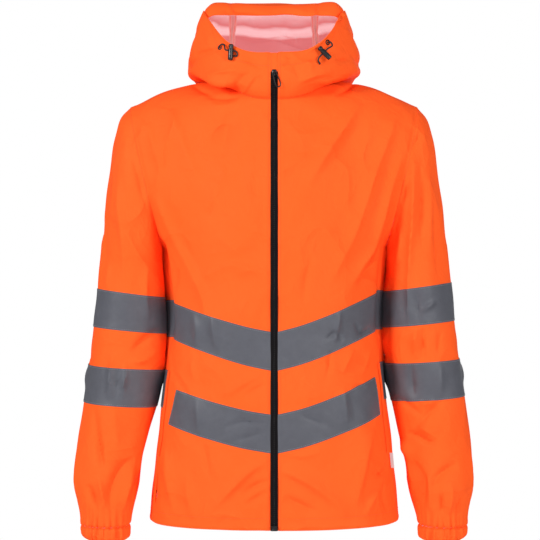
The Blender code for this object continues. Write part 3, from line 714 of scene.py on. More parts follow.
def sewn(name, lines, thread=ORANGE_THREAD, pitch=STITCH_PITCH, long=STITCH_LONG,
         thick=STITCH_THICK):
    """Stitches along lines of points and directions, as one mesh of small bars."""
    centres, alongs, ups = [], [], []
    for placed, turned in lines:
        far = runs(placed)
        count = int(far[-1] / pitch)
        if count < 1:
            continue
        at = (np.arange(count) + 0.5) * far[-1] / count
        centres.append(read_at(at, far, placed))
        alongs.append(read_at(at + STITCH_AIM, far, placed) - read_at(at - STITCH_AIM, far, placed))
        ups.append(read_at(at, far, turned))
    centres, alongs, ups = (np.concatenate(block) for block in (centres, alongs, ups))
    alongs /= np.linalg.norm(alongs, axis=1)[:, None]
    ups -= alongs * np.sum(ups * alongs, axis=1)[:, None]
    ups /= np.linalg.norm(ups, axis=1)[:, None]
    sides = np.cross(alongs, ups)
    block, bar = [], []
    for j, (distance, size, height) in enumerate(STITCH_PROFILE):
        for k in range(STITCH_SIDES):
            angle = 2 * pi * k / STITCH_SIDES + pi / 10
            block.append((distance * long, cos(angle) * size * thick, (sin(angle) * size + height) * thick))
            if j:
                ring, n = j * STITCH_SIDES, (k + 1) % STITCH_SIDES
                bar.append((ring - STITCH_SIDES + k, ring - STITCH_SIDES + n, ring + n, ring + k))
    block = np.array(block)
    points = (
        centres[:, None] + alongs[:, None] * block[None, :, :1]
        + sides[:, None] * block[None, :, 1:2] + ups[:, None] * block[None, :, 2:3]
    )
    firsts = len(block) * np.arange(len(centres))[:, None, None]
    ring = np.arange(STITCH_SIDES)
    ends = np.array([ring[::-1], ring + len(block) - STITCH_SIDES])
    faces = (np.array(bar)[None] + firsts).reshape(-1, 4).tolist()
    faces += (ends[None] + firsts).reshape(-1, STITCH_SIDES).tolist()
    mesh = bpy.data.meshes.new(name)
    mesh.from_pydata(points.reshape(-1, 3).tolist(), [], faces)
    mesh.materials.append(thread)
    mesh.shade_smooth()
    dress(shown(name, mesh))


# The fronts: cut from the zip to the side seam, with a folded edge stitched down beside the
# zip and a hem turned up and stitched. The main folds fall from the armholes.
SIDES = ((-1, "right"), (1, "left"))
BODY_COLUMNS = 9
NECK_ROW = 16
ARMHOLE_ROW = 10
PANEL_CORNERS = ((NECK_ROW, 0), (ARMHOLE_ROW, BODY_COLUMNS - 1))
ZIP_HALF = 0.006
ZIP_EDGE_STITCH = 0.0042
HEM_DEEP = 0.020
NECK_REACH = 0.007
ARMHOLE_REACH = 0.0045
NECK_FILL = 0.009
UNDER_ARM = 0.14
ARM_SINK = {-1: 0.0125, 1: 0.0070}
ARM_SWELL = {-1: 0.0085, 1: 0.0105}
FRONT_CREASES = (
    ("front", ((-137, -5), (-115, -18), (-91, -34)), (3, 6), -5.0, 0.50),
    ("front", ((-112, -29), (-84, -35), (-55, -34)), (4, 5), -2.0, 0.50),
    ("front", ((133, 0), (117, -16), (97, -31)), (6, 3), -4.6, 0.45),
    # wearer's right
    ("front", ((-191, -191), (-176, -225), (-156, -265), (-136, -305), (-119, -344), (-106, -382)),
     (5, 14), 6.5, 0.42),
    ("front", ((-98, -379), (-95, -408), (-91, -443)), (4, 5), 2.4, 0.50),
    ("front", ((-169, -52), (-142, -115), (-117, -177)), (10, 16), 3.2, 0.42),
    ("front", ((-204, -72), (-191, -119), (-174, -172)), (8, 8), 2.2, 0.50),
    ("front", ((-74, -53), (-80, -101), (-93, -152)), (12, 14), -2.6, 0.45),
    ("front", ((-98, -204), (-104, -219), (-114, -227)), (3, 4), -1.2, 0.50),
    ("front", ((-96, -251), (-61, -273), (-26, -270)), (10, 9), 1.6, 0.50),
    ("front", ((-77, -299), (-45, -313), (-13, -308)), (9, 9), 1.3, 0.50),
    ("front", ((-151, -308), (-159, -328), (-162, -347)), (4, 3), -2.0, 0.50),
    ("front", ((-131, -379), (-122, -408), (-126, -437)), (7, 8), 2.2, 0.50),
    ("front", ((-166, -474), (-151, -494), (-136, -515)), (3, 4), -3.0, 0.45),
    ("front", ((-83, -516), (-54, -495), (-19, -477)), (7, 5), 2.2, 0.50),
    ("front", ((-50, -514), (-30, -501), (-15, -491)), (3, 3), -1.6, 0.50),
    ("front", ((-126, -444), (-131, -469), (-124, -495)), (7, 7), 1.8, 0.50),
    ("front", ((-80, -562), (-46, -553), (-10, -556)), (3.5, 3), -1.6, 0.50),
    ("front", ((-70, -584), (-42, -577), (-13, -567)), (3.5, 3), -1.3, 0.50),
    ("front", ((-124, -511), (-121, -546), (-117, -585)), (8, 8), 1.8, 0.50),
    ("front", ((-114, -581), (-109, -613), (-103, -641)), (5, 5), -2.2, 0.50),
    ("front", ((-10, -613), (-38, -631), (-64, -656), (-87, -681), (-108, -707)), (5, 11), 5.2, 0.42),
    ("front", ((-8, -646), (-32, -655), (-51, -671)), (4, 4), -2.8, 0.45),
    ("front", ((-10, -662), (-29, -674), (-48, -688)), (4, 4), -2.4, 0.45),
    ("front", ((-176, -588), (-171, -643), (-161, -707)), (6, 8), 3.2, 0.50),
    ("front", ((-195, -626), (-198, -666), (-190, -701)), (6, 6), -2.2, 0.50),
    ("front", ((-142, -634), (-137, -676), (-126, -717)), (7, 7), 1.8, 0.55),
    # wearer's left
    ("front", ((142, -41), (107, -92), (75, -141), (55, -180)), (8, 15), 4.6, 0.42),
    ("front", ((200, -56), (183, -103), (165, -146), (150, -189), (137, -229), (120, -270), (101, -308),
               (84, -347)), (7, 15), 6.2, 0.42),
    ("front", ((212, -111), (195, -159), (181, -198), (169, -239), (157, -276), (135, -315), (115, -353)),
     (7, 7), 4.2, 0.50),
    ("front", ((172, -295), (152, -317), (132, -341)), (6, 6), -4.8, 0.40),
    ("front", ((60, -286), (51, -328), (46, -366)), (6, 6), -1.8, 0.50),
    ("front", ((16, -91), (51, -97), (92, -86)), (6, 9), 1.8, 0.50),
    ("front", ((22, -124), (54, -121), (76, -109)), (7, 7), -1.2, 0.50),
    ("front", ((104, -377), (101, -401), (97, -427)), (3, 3), 2.0, 0.50),
    ("front", ((83, -422), (97, -412), (112, -426)), (2.5, 3), -2.0, 0.50),
    ("front", ((129, -395), (142, -413), (157, -404)), (3, 3), -2.6, 0.50),
    ("front", ((89, -439), (88, -462), (83, -487)), (4, 4), -1.8, 0.50),
    ("front", ((130, -440), (117, -458), (110, -478)), (3.5, 6), 3.0, 0.45),
    ("front", ((159, -438), (149, -460), (140, -486)), (4, 5), 2.2, 0.50),
    ("front", ((110, -494), (112, -527), (117, -565)), (7, 9), 2.2, 0.50),
    ("front", ((124, -503), (135, -497), (149, -501)), (2.5, 2.5), -1.4, 0.50),
    ("front", ((41, -537), (60, -550), (89, -558)), (3, 3), -1.2, 0.50),
    ("front", ((11, -629), (41, -642), (70, -661), (97, -684), (120, -710)), (14, 6), 6.4, 0.38),
    ("front", ((16, -670), (41, -684), (70, -697)), (5, 8), -3.4, 0.45),
    ("front", ((12, -600), (41, -607), (76, -599)), (5, 4), 1.6, 0.50),
    ("front", ((160, -568), (147, -606), (138, -650), (130, -695)), (6, 13), 5.4, 0.50),
    ("front", ((157, -629), (172, -643), (188, -625)), (4, 5), -3.4, 0.50),
    ("front", ((149, -706), (157, -683), (172, -666)), (5, 5), 3.0, 0.50),
    ("front", ((183, -648), (179, -680), (186, -707)), (5, 5), -2.6, 0.50),
    ("front", ((12, -689), (35, -702), (47, -722)), (6, 5), 1.4, 0.60),
)


def arm_press(points):
    """Where the hanging arm presses: the body stands out behind and sinks in front."""
    x, y, z = points[..., 0], points[..., 1], points[..., 2]
    beside = bell(z, -0.368, 0.115, 8) * (np.abs(x) > UNDER_ARM)
    gap = bell(z, -0.345, 0.082, 6) * (np.abs(x) > UNDER_ARM) * np.where(x < 0, ARM_SINK[-1], ARM_SINK[1])
    out = np.where(x < 0, ARM_SWELL[-1], ARM_SWELL[1]) * bell(y, 0.022, 0.024)
    return beside * out - gap * bell(y, -0.036, 0.017)


def front_shape(points):
    """The arm's press, and the doubled edge by the zip, which stands up from the single cloth."""
    by_zip = np.abs(points[..., 0]) - ZIP_HALF
    below_neck = np.clip((-0.045 - points[..., 2]) / 0.01, 0, 1)
    doubled = 0.0005 * (1 - 1 / (1 + np.exp(-(by_zip - 0.009) / 0.0012)))
    sunk = -0.00035 * bell(by_zip, ZIP_EDGE_STITCH, 0.0012)
    return (doubled + sunk) * below_neck + arm_press(points)


def seam_line(keys):
    """A seam's points, drawn smooth through its keys."""
    return drawn_smooth(keys[:, None], np.linspace(0, len(keys) - 1, 12 * len(keys)))[:, 0]


def filled_neck(keys):
    """Keys of the cloth and zip with the hollow at the front of the neck filled out a little."""
    x, y, z = keys[..., 0], keys[..., 1], keys[..., 2]
    near = bell(x, 0, 0.065) * bell(z, -0.042, 0.030) * (y < -0.07)
    return keys - near[..., None] * (0, NECK_FILL, 0)


FRONT = {}
NECK_SEAM = []
ARMHOLE = {}
for side, word in SIDES:
    grid = filled_neck(panel_grid(f"front_{word}", BODY_COLUMNS, (0.0, -0.12, -0.73)))
    neck = seam_line(grid[NECK_ROW:, 0])
    NECK_SEAM.append(neck)
    ARMHOLE[side] = seam_line(grid[ARMHOLE_ROW:, -1])
    FRONT[side] = cut_skin(
        grid, side, FRONT_CREASES, corners=PANEL_CORNERS, shape=front_shape,
        sample=0.0030, fixed=((neck, NECK_REACH), (ARMHOLE[side], ARMHOLE_REACH)),
    )
    front = made_up(f"front_{word}_cloth", [FRONT[side]], SHELL, COAT)
    dress(front, f"front_{word}")
    by_zip = along_edges(FRONT[side].part(0, NECK_ROW), start=ZIP_EDGE_STITCH)
    sewn(f"front_{word}_stitching", by_zip + along_edges(FRONT[side], low=HEM_DEEP))

# The back: one panel, cut to the same seams, with a gentle fold from each armhole and soft
# folds over the waist.
BACK_CREASES = (
    ("back", ((-186, -190), (-160, -238), (-128, -285), (-98, -318)), (9, 11), -5.0, 0.40),
    ("back", ((-178, -228), (-150, -280), (-120, -322)), (8, 7), 2.8, 0.45),
    ("back", ((186, -180), (164, -232), (140, -282), (118, -330)), (10, 9), -5.2, 0.45),
    ("back", ((176, -222), (155, -272), (128, -312)), (7, 8), 2.6, 0.45),
    ("back", ((-120, -62), (-92, -112), (-70, -170)), (14, 11), -2.8, 0.50),
    ("back", ((132, -58), (112, -108), (84, -160), (70, -200)), (12, 14), -3.0, 0.45),
    ("back", ((-30, -60), (-22, -150), (-28, -250)), (15, 15), 1.6, 0.50),
    ("back", ((40, -130), (32, -215), (38, -300)), (14, 14), -1.8, 0.50),
    ("back", ((-158, -395), (-118, -410), (-70, -404)), (7, 6), -2.4, 0.40),
    ("back", ((150, -388), (112, -402), (62, -398), (20, -404)), (6, 7), -2.6, 0.40),
    ("back", ((-60, -452), (-10, -462), (44, -452)), (7, 7), -2.2, 0.50),
    ("back", ((-150, -470), (-112, -482), (-78, -476)), (6, 7), 2.0, 0.45),
    ("back", ((146, -462), (104, -478), (70, -470)), (7, 6), 2.0, 0.45),
    ("back", ((-112, -560), (-86, -612), (-76, -668)), (10, 9), -3.2, 0.45),
    ("back", ((96, -556), (74, -612), (66, -676)), (9, 11), -3.6, 0.50),
    ("back", ((10, -575), (16, -640), (12, -705)), (12, 12), 2.2, 0.55),
    ("back", ((-150, -590), (-140, -640), (-136, -700)), (9, 9), 2.0, 0.55),
    ("back", ((150, -585), (142, -645), (144, -702)), (9, 9), -2.4, 0.55),
)
BACK = {}
half_grids = {side: panel_grid("back", BODY_COLUMNS, (0.0, 0.12, -0.73), side) for side, _ in SIDES}
for side, word in SIDES:
    grid = half_grids[side]
    ghost = half_grids[-side][:, 1].copy()
    ghost[NECK_ROW + 1:] = 2 * grid[NECK_ROW + 1:, 0] - grid[NECK_ROW + 1:, 1]
    neck = seam_line(grid[NECK_ROW:, 0])
    NECK_SEAM.append(neck)
    armhole = seam_line(grid[ARMHOLE_ROW:, -1])
    BACK[side] = cut_skin(
        grid, -side, BACK_CREASES, corners=PANEL_CORNERS, before=ghost,
        shape=arm_press, seams="lhe", fixed=((neck, NECK_REACH), (armhole, ARMHOLE_REACH)),
    )
    ARMHOLE[side] = np.concatenate([ARMHOLE[side], armhole])[::2]
back = made_up("back_cloth", [BACK[-1], BACK[1]], SHELL, COAT)
dress(back, "back")
sewn("back_stitching", along_edges(BACK[-1], low=HEM_DEEP) + along_edges(BACK[1], low=HEM_DEEP))

# The sleeves: one piece each, set into the armhole and gathered at the wrist. They hang with
# a slight bend at the elbow, where the cloth folds towards the body.
SLEEVE_CREASES = (
    # wearer's right
    ("front", ((-223, -54), (-216, -67), (-218, -81)), (3, 3), -2.2, 0.50),
    ("front", ((-253, -154), (-250, -208), (-245, -270), (-242, -334)), (12, 8), 3.6, 0.45),
    ("front", ((-232, -121), (-218, -167), (-205, -215)), (8, 7), -3.0, 0.50),
    ("front", ((-219, -83), (-232, -105), (-236, -134)), (5, 5), -1.8, 0.50),
    ("front", ((-205, -299), (-210, -344), (-205, -395)), (5, 7), 2.6, 0.50),
    ("front", ((-273, -299), (-271, -321), (-277, -344)), (4, 4), 1.6, 0.50),
    ("front", ((-284, -218), (-279, -263), (-277, -308)), (6, 6), -2.0, 0.50),
    ("front", ((-234, -445), (-221, -433), (-203, -418), (-187, -408)), (4, 7), -4.4, 0.50),
    ("front", ((-236, -460), (-216, -460), (-190, -441)), (6, 5), 2.6, 0.50),
    ("front", ((-263, -444), (-266, -483), (-268, -524)), (5, 4), 2.6, 0.50),
    ("front", ((-242, -460), (-244, -489), (-247, -521)), (5, 3), 2.4, 0.50),
    ("front", ((-253, -466), (-255, -495), (-257, -524)), (3, 3), -1.4, 0.50),
    ("front", ((-295, -534), (-287, -579), (-281, -618), (-276, -641)), (5, 6), -3.6, 0.45),
    ("front", ((-261, -528), (-258, -573), (-252, -611)), (10, 9), 2.2, 0.50),
    ("front", ((-228, -618), (-245, -631), (-258, -650), (-265, -676), (-261, -715)), (6, 7), -5.4, 0.45),
    ("front", ((-286, -647), (-279, -670), (-274, -699)), (6, 5), 3.6, 0.50),
    ("front", ((-231, -628), (-237, -653), (-244, -682), (-245, -708)), (6, 6), 4.2, 0.50),
    ("front", ((-306, -660), (-295, -678), (-287, -708)), (5, 5), -4.2, 0.45),
    ("front", ((-219, -634), (-226, -663), (-232, -692)), (5, 4), -3.0, 0.50),
    ("right", ((30, -190), (10, -230), (-16, -262)), (9, 8), -3.0, 0.50),
    ("right", ((44, -420), (16, -446), (-14, -462)), (8, 7), -3.4, 0.45),
    ("right", ((40, -452), (20, -484), (-4, -506)), (7, 7), 2.2, 0.50),
    ("right", ((18, -560), (-6, -604), (-14, -656)), (9, 7), -3.2, 0.50),
    ("right", ((-30, -590), (-36, -640), (-34, -690)), (7, 7), 2.2, 0.50),
    ("back", ((-196, -330), (-222, -372), (-248, -398)), (8, 8), -3.0, 0.45),
    ("back", ((-190, -440), (-220, -456), (-252, -452)), (8, 7), -3.8, 0.45),
    ("back", ((-262, -560), (-250, -612), (-258, -668)), (8, 8), -3.4, 0.50),
    ("back", ((-286, -600), (-282, -650), (-276, -702)), (7, 7), 2.4, 0.55),
    ("back", ((-236, -640), (-246, -676), (-250, -710)), (6, 6), -2.6, 0.55),
    # wearer's left
    ("front", ((242, -83), (232, -99), (222, -118)), (3, 3), -2.2, 0.50),
    ("front", ((224, -115), (224, -183), (222, -250), (221, -321)), (6, 5), 3.4, 0.50),
    ("front", ((214, -167), (211, -186), (205, -205)), (4, 4), -3.0, 0.50),
    ("front", ((237, -134), (240, -205), (240, -279)), (5, 6), -3.0, 0.50),
    ("front", ((250, -144), (253, -215), (254, -289)), (6, 5), 2.2, 0.50),
    ("front", ((261, -205), (266, -267), (269, -328)), (5, 5), -2.6, 0.50),
    ("front", ((221, -241), (219, -299), (219, -360), (222, -408)), (4, 3.5), 3.0, 0.50),
    ("front", ((203, -241), (205, -273), (200, -302)), (4, 5), 2.0, 0.50),
    ("front", ((232, -347), (234, -373), (237, -399)), (4, 5), -2.0, 0.50),
    ("front", ((238, -379), (251, -371), (263, -362)), (3, 3), 2.0, 0.50),
    ("front", ((230, -408), (229, -434), (232, -457)), (4, 6), 3.0, 0.50),
    ("front", ((243, -405), (243, -434), (242, -460)), (4, 4), -3.0, 0.50),
    ("front", ((272, -408), (269, -428), (267, -450)), (4, 4), -2.0, 0.50),
    ("front", ((271, -460), (269, -489), (272, -518)), (9, 10), 2.6, 0.50),
    ("front", ((225, -463), (224, -492), (229, -521)), (7, 8), -2.6, 0.50),
    ("front", ((200, -520), (213, -528), (225, -537), (242, -549)), (4, 4), -4.6, 0.50),
    ("front", ((277, -521), (261, -537), (245, -552), (225, -570)), (4, 6), -4.8, 0.45),
    ("front", ((235, -528), (248, -529), (261, -524)), (5, 5), 2.6, 0.50),
    ("front", ((216, -579), (232, -582), (251, -591), (267, -589)), (4, 4), -3.8, 0.40),
    ("front", ((232, -566), (251, -573), (274, -570)), (5, 5), 2.4, 0.50),
    ("front", ((213, -589), (216, -605), (222, -618)), (6, 5), 3.0, 0.50),
    ("front", ((219, -621), (232, -634), (243, -653), (243, -682), (242, -711)), (4, 8), -6.0, 0.50),
    ("front", ((251, -641), (253, -670), (253, -705)), (5, 5), 4.4, 0.45),
    ("front", ((300, -628), (280, -634), (264, -647), (258, -666)), (7, 5), -4.0, 0.45),
    ("front", ((272, -663), (271, -686), (272, -711)), (4, 4), -3.4, 0.60),
    ("front", ((287, -653), (287, -679), (283, -708)), (5, 5), 3.0, 0.60),
    ("front", ((306, -673), (301, -692), (298, -711)), (4, 4), -3.4, 0.60),
    ("left", ((34, -180), (12, -224), (-10, -270)), (8, 9), -3.0, 0.50),
    ("left", ((42, -412), (14, -440), (-18, -452)), (8, 7), -3.2, 0.45),
    ("left", ((38, -448), (16, -476), (-10, -500)), (7, 7), 2.2, 0.50),
    ("left", ((14, -566), (-8, -612), (-18, -660)), (8, 8), -3.2, 0.50),
    ("left", ((-34, -596), (-38, -644), (-32, -694)), (7, 7), 2.0, 0.50),
    ("back", ((200, -318), (226, -360), (246, -402)), (8, 8), -3.0, 0.45),
    ("back", ((192, -432), (224, -450), (250, -444)), (7, 8), -3.8, 0.45),
    ("back", ((258, -566), (252, -618), (260, -672)), (8, 8), -3.4, 0.50),
    ("back", ((284, -604), (280, -654), (276, -704)), (7, 7), 2.4, 0.55),
    ("back", ((238, -636), (246, -672), (248, -710)), (6, 6), -2.6, 0.55),
)
CUFF_MIDDLE = (0.2772, -0.029)
PLEAT_COUNT = 30
SLEEVE_GATHER = 0.0022
CUFF_GATHER = 0.0021
drawn = np.random.default_rng(11)
PLEATS = [
    (k * 2 * pi / PLEAT_COUNT + drawn.uniform(-0.07, 0.07), drawn.uniform(0.6, 1.0))
    for k in range(PLEAT_COUNT)
]
ELBOW_PRESS = {
    # side: how far the sleeve swells towards the front and sinks towards the back, by the body
    -1: (0.0060, 0.0060),
    1: (-0.0020, 0.0010),
}


def gathers(points, side):
    """Uneven pleats round the wrist, as a share from -1 in a tuck to 0.9 on a puff."""
    angle = np.arctan2(points[..., 1] - CUFF_MIDDLE[1], side * points[..., 0] - CUFF_MIDDLE[0])
    total = np.zeros(angle.shape)
    for turn, size in PLEATS:
        total += size * bell(np.abs((angle - turn + pi) % (2 * pi) - pi), 0, 0.055)
    return 0.9 - 1.9 * np.clip(total, 0, 1)


def sleeve_shape(points, side):
    """The sleeve's press against the body, and its gathers at the wrist."""
    x, y, z = side * points[..., 0], points[..., 1], points[..., 2]
    swell, sink = ELBOW_PRESS[side]
    beside = bell(z, -0.368, 0.115, 8) * (x < 0.215)
    press = swell * bell(y, -0.022, 0.016) - sink * bell(y, 0.026, 0.020)
    low = np.clip((-0.682 - z) / 0.046, 0, 1) ** 1.6
    return beside * press + SLEEVE_GATHER * low * gathers(points, side)


SLEEVE = {}
for side, word in SIDES:
    SLEEVE[side] = cut_skin(
        ring_grid(f"sleeve_{word}", 17), side, SLEEVE_CREASES, closed=True, seams="lh", uneven=0.0009,
        shape=partial(sleeve_shape, side=side), sample=0.0035, fixed=((ARMHOLE[side], ARMHOLE_REACH),),
    )
    sleeve = made_up(f"sleeve_{word}_cloth", [SLEEVE[side]], SHELL, COAT)
    dress(sleeve, f"sleeve_{word}")
    sewn(f"sleeve_{word}_stitching", along_edges(SLEEVE[side], high=0.0026, low=0.0022))

# The cuffs: a folded channel with elastic inside, which draws it into close uneven pleats.
CUFF_FOOT = -0.7545
CUFF_DEEP = 0.0242


def cuff_shape(points, side):
    """The channel's pleats, fullest half way up it."""
    puff = np.sin(np.clip((points[..., 2] - CUFF_FOOT) / CUFF_DEEP, 0, 1) * pi) ** 0.6
    return CUFF_GATHER * gathers(points, side) * (0.75 + 0.25 * puff) - 0.0009


for side, word in SIDES:
    skin = cut_skin(
        ring_grid(f"cuff_{word}", 4, CUFF_WALL), side, (), closed=True, seams="lh", uneven=0.0003,
        shape=partial(cuff_shape, side=side), sample=0.002,
    )
    cuff = made_up(f"cuff_{word}_channel", [skin], SHELL, COAT, thick=0.0012, turn_in=0.0)
    dress(cuff, f"cuff_{word}")
    sewn(f"cuff_{word}_stitching", along_edges(skin, high=0.0030))

# The hood: two sides and a centre strip, slumped back with nobody in it. Its lined inside
# shows through the opening, where the slack roof rolls over the back wall.
HOOD_CREASES = (
    ("front", ((-131, 38), (-107, 40), (-78, 43)), (2.5, 7), -2.6, 0.50),
    ("front", ((-114, -1), (-90, 3), (-68, 6), (-39, 4)), (7, 8), 2.6, 0.50),
    ("front", ((-37, 2), (-55, -8), (-64, -20), (-71, -35)), (13, 3), -3.4, 0.50),
    ("front", ((-108, -10), (-87, -15), (-71, -17)), (6, 6), 2.2, 0.50),
    ("front", ((-19, -2), (-35, -15), (-48, -31)), (5, 3), -1.6, 0.50),
    ("front", ((-29, -5), (-43, -21), (-55, -37)), (3, 4), 1.4, 0.50),
    ("front", ((-55, 23), (-35, 17), (-19, 4)), (6, 4), -1.5, 0.50),
    ("front", ((38, -21), (54, -13), (73, -7), (96, -2), (122, 1)), (2.5, 11), -3.6, 0.55),
    ("front", ((41, -13), (64, -4), (96, 4)), (7, 4), 2.4, 0.50),
    ("front", ((91, -6), (82, -21), (69, -42)), (4, 6), 2.8, 0.50),
    ("front", ((111, -6), (106, -19), (96, -35)), (6, 4), -3.6, 0.50),
    ("front", ((35, -41), (48, -33), (64, -22)), (3, 6), 1.6, 0.50),
    ("front", ((97, 26), (113, 30), (127, 32)), (3, 5), -1.8, 0.50),
    ("front", ((22, 20), (35, 7), (40, -9)), (4, 5), -1.4, 0.50),
    ("front", ((49, 23), (57, 11), (54, -2)), (5, 4), 1.3, 0.50),
    ("front", ((-10, 26), (-11, 13), (-13, -6)), (2, 2), -1.0, 0.50),
    ("front", ((19, 28), (25, 23), (12, 10)), (2.5, 3), -1.5, 0.50),
    ("front", ((16, 103), (57, 100), (102, 94)), (3, 2.5), -1.6, 0.50),
    ("front", ((-93, 107), (-61, 108), (-19, 103)), (4, 4), -1.2, 0.50),
    # seen inside, on the back wall
    ("back", ((-81, 106), (-60, 104), (-31, 104), (2, 108), (29, 110), (67, 108), (106, 108)),
     (7, 7), -6.0, 0.50),
    ("back", ((-42, 92), (-17, 93), (4, 94), (22, 88), (50, 80), (74, 78)), (3, 4.5), 4.6, 0.55),
    ("back", ((14, 113), (25, 108), (36, 99)), (3, 3), -1.6, 0.50),
    ("back", ((46, 104), (39, 96), (46, 89)), (3, 3), 1.8, 0.50),
    ("back", ((-107, 120), (-95, 122), (-81, 124)), (3, 3), 2.0, 0.50),
    ("back", ((-48, 124), (-40, 119), (-31, 112)), (4, 4), 2.0, 0.50),
    ("back", ((19, 123), (45, 116), (73, 114)), (5, 5), 1.8, 0.50),
    # sides, back and top
    ("left", ((-60, 88), (-20, 70), (30, 66), (80, 74)), (8, 8), -3.6, 0.45),
    ("left", ((-80, 40), (-30, 28), (20, 34)), (8, 7), -3.0, 0.50),
    ("left", ((20, 50), (70, 40), (120, 48)), (8, 8), 3.0, 0.50),
    ("right", ((-60, 84), (-16, 68), (36, 64), (84, 76)), (8, 8), -3.6, 0.45),
    ("right", ((-80, 34), (-34, 24), (22, 30)), (8, 7), -3.0, 0.50),
    ("right", ((16, 48), (66, 36), (118, 46)), (8, 8), 3.0, 0.50),
    ("top", ((-98, 30), (-40, 44), (20, 34), (88, 46)), (9, 8), -3.4, 0.50),
    ("top", ((-80, -4), (-20, 10), (40, 2), (92, 14)), (9, 9), -1.6, 0.50),
    ("back", ((-110, 60), (-60, 48), (0, 52), (60, 46), (108, 58)), (10, 9), -3.0, 0.50),
    ("back", ((-96, 30), (-40, 18), (30, 22), (92, 28)), (9, 9), 2.2, 0.45),
)
HOOD_COLUMNS = 11
RIM_ROW = 12
BACK_ROW = 8
RIM_CHANNEL = 0.022
HOOD_REACH = 0.005
HOOD_LOWERED = 0.0035
ROOF_TOP = 0.112
SLACK = {
    # side: row, column and shift in millimetres where the slack cloth stands over the shoulder
    -1: ((1, 2, -2, 2, 0), (1, 3, -3, 4, 0), (1, 4, -4, 4, 1), (2, 2, -2, -4, -4), (2, 3, -4, -5, -5),
         (2, 4, -3, -3, -3), (3, 3, -1, -2, 0)),
    1: ((1, 2, 1, 2, 0), (1, 3, 3, 4, 0), (1, 4, 3, 4, 0), (2, 3, 3, -4, -1), (2, 2, 1, -4, -1)),
}
RIM_LAID = ((2, 0.4), (3, 0.8), (4, 1.0), (5, 1.0), (6, 1.0))
# Painted highlight: a pale band across the hood's inside, between these heights, where the roll would catch
# the light.
HIGHLIGHT_HEIGHTS = (0.085, 0.135)
HIGHLIGHT_BAND = (
    # share of the heights, brightness of the painted highlight
    (0.0, 0.0), (0.38, 0.0), (0.46, 0.92), (0.60, 1.0), (0.66, 0.55), (0.70, 0.0),
)


def hood_coat():
    """The coat inside the hood, with a painted highlight: a pale band along the roll where its slack roof
    folds over.
    """
    coat = coat_inside("hood_coat")
    tree = coat.tree
    split = tree.nodes.new("ShaderNodeSeparateXYZ")
    tree.links.new(coat.place, split.inputs[0])
    height = tree.nodes.new("ShaderNodeMath")
    height.operation = "MULTIPLY_ADD"
    tree.links.new(coat.texture("Noise", Scale=16.0, Detail=2.0), height.inputs[0])
    height.inputs[1].default_value = 0.014
    tree.links.new(split.outputs["Z"], height.inputs[2])
    span = tree.nodes.new("ShaderNodeMapRange")
    span.inputs["From Min"].default_value, span.inputs["From Max"].default_value = HIGHLIGHT_HEIGHTS
    tree.links.new(height.outputs[0], span.inputs["Value"])
    highlight_ramp = tree.nodes.new("ShaderNodeValToRGB")
    for share, brightness in HIGHLIGHT_BAND:
        stop = highlight_ramp.color_ramp.elements.new(share)
        stop.color = (brightness, brightness, brightness, 1)
    tree.links.new(span.outputs[0], highlight_ramp.inputs["Fac"])
    tinted = coat.shader["Base Color"].links[0].from_socket
    blends = {}
    # Painted highlight: in the band the base colour and the painted glow turn near white.
    for socket, highlit in (("Base Color", (0.96, 0.90, 0.93, 1)), ("Emission Color", (1.0, 0.97, 1.0, 1))):
        blend = tree.nodes.new("ShaderNodeMix")
        blend.data_type = "RGBA"
        blend.inputs[7].default_value = highlit
        tree.links.new(highlight_ramp.outputs["Color"], blend.inputs[0])
        tree.links.new(blend.outputs[2], coat.shader[socket])
        blends[socket] = blend
    tree.links.new(tinted, blends["Base Color"].inputs[6])
    # Painted glow: outside the band the coat glows pink, more strongly than the coat elsewhere.
    blends["Emission Color"].inputs[6].default_value = (0.56, 0.20, 0.20, 1)
    coat.shader["Emission Strength"].default_value = 0.30
    return coat.material


def lowered(keys):
    """Keys of the hood with its slack top let down a little."""
    down = np.clip((keys[..., 2] - ROOF_TOP) / 0.014, 0, 1)
    return keys - down[..., None] * (0, 0, HOOD_LOWERED)


def face_channel(hood, skin):
    """The cord's channel and the opening's corners: turned in, so that their inside is shell."""
    inward = runs(skin.points[::-1])[::-1][:-1]
    x, y, z = skin.points[:-1, 1:].transpose(2, 0, 1)
    corner = (np.abs(x) > 0.102) & (y < -0.045) & (z > 0.088)
    turned = ((inward[:, 1:] < RIM_CHANNEL) | corner).reshape(-1)
    for k in np.flatnonzero(turned):
        hood.data.polygons[len(turned) + int(k)].material_index = 0


def hood_skin(grid, side, crown, sunk):
    """A piece of the hood, slack between its seams."""
    return cut_skin(
        grid, side, HOOD_CREASES, uneven=0.0010, sample=0.0027, depth=2.5, sunk=sunk,
        fixed=((NECK_SEAM, HOOD_REACH), (crown[::2], HOOD_REACH)),
    )


def hood_piece(part, skin, flat, area, **stitched):
    """A piece of the hood made up, with its lines of stitching."""
    hood = made_up(f"hood_{part}_cloth", [skin], SHELL, HOOD_COAT, turn_in=0.0003)
    face_channel(hood, skin)
    dress(hood, f"hood_{part}")
    sewn(f"hood_{part}_stitching", along_edges(skin, **stitched))


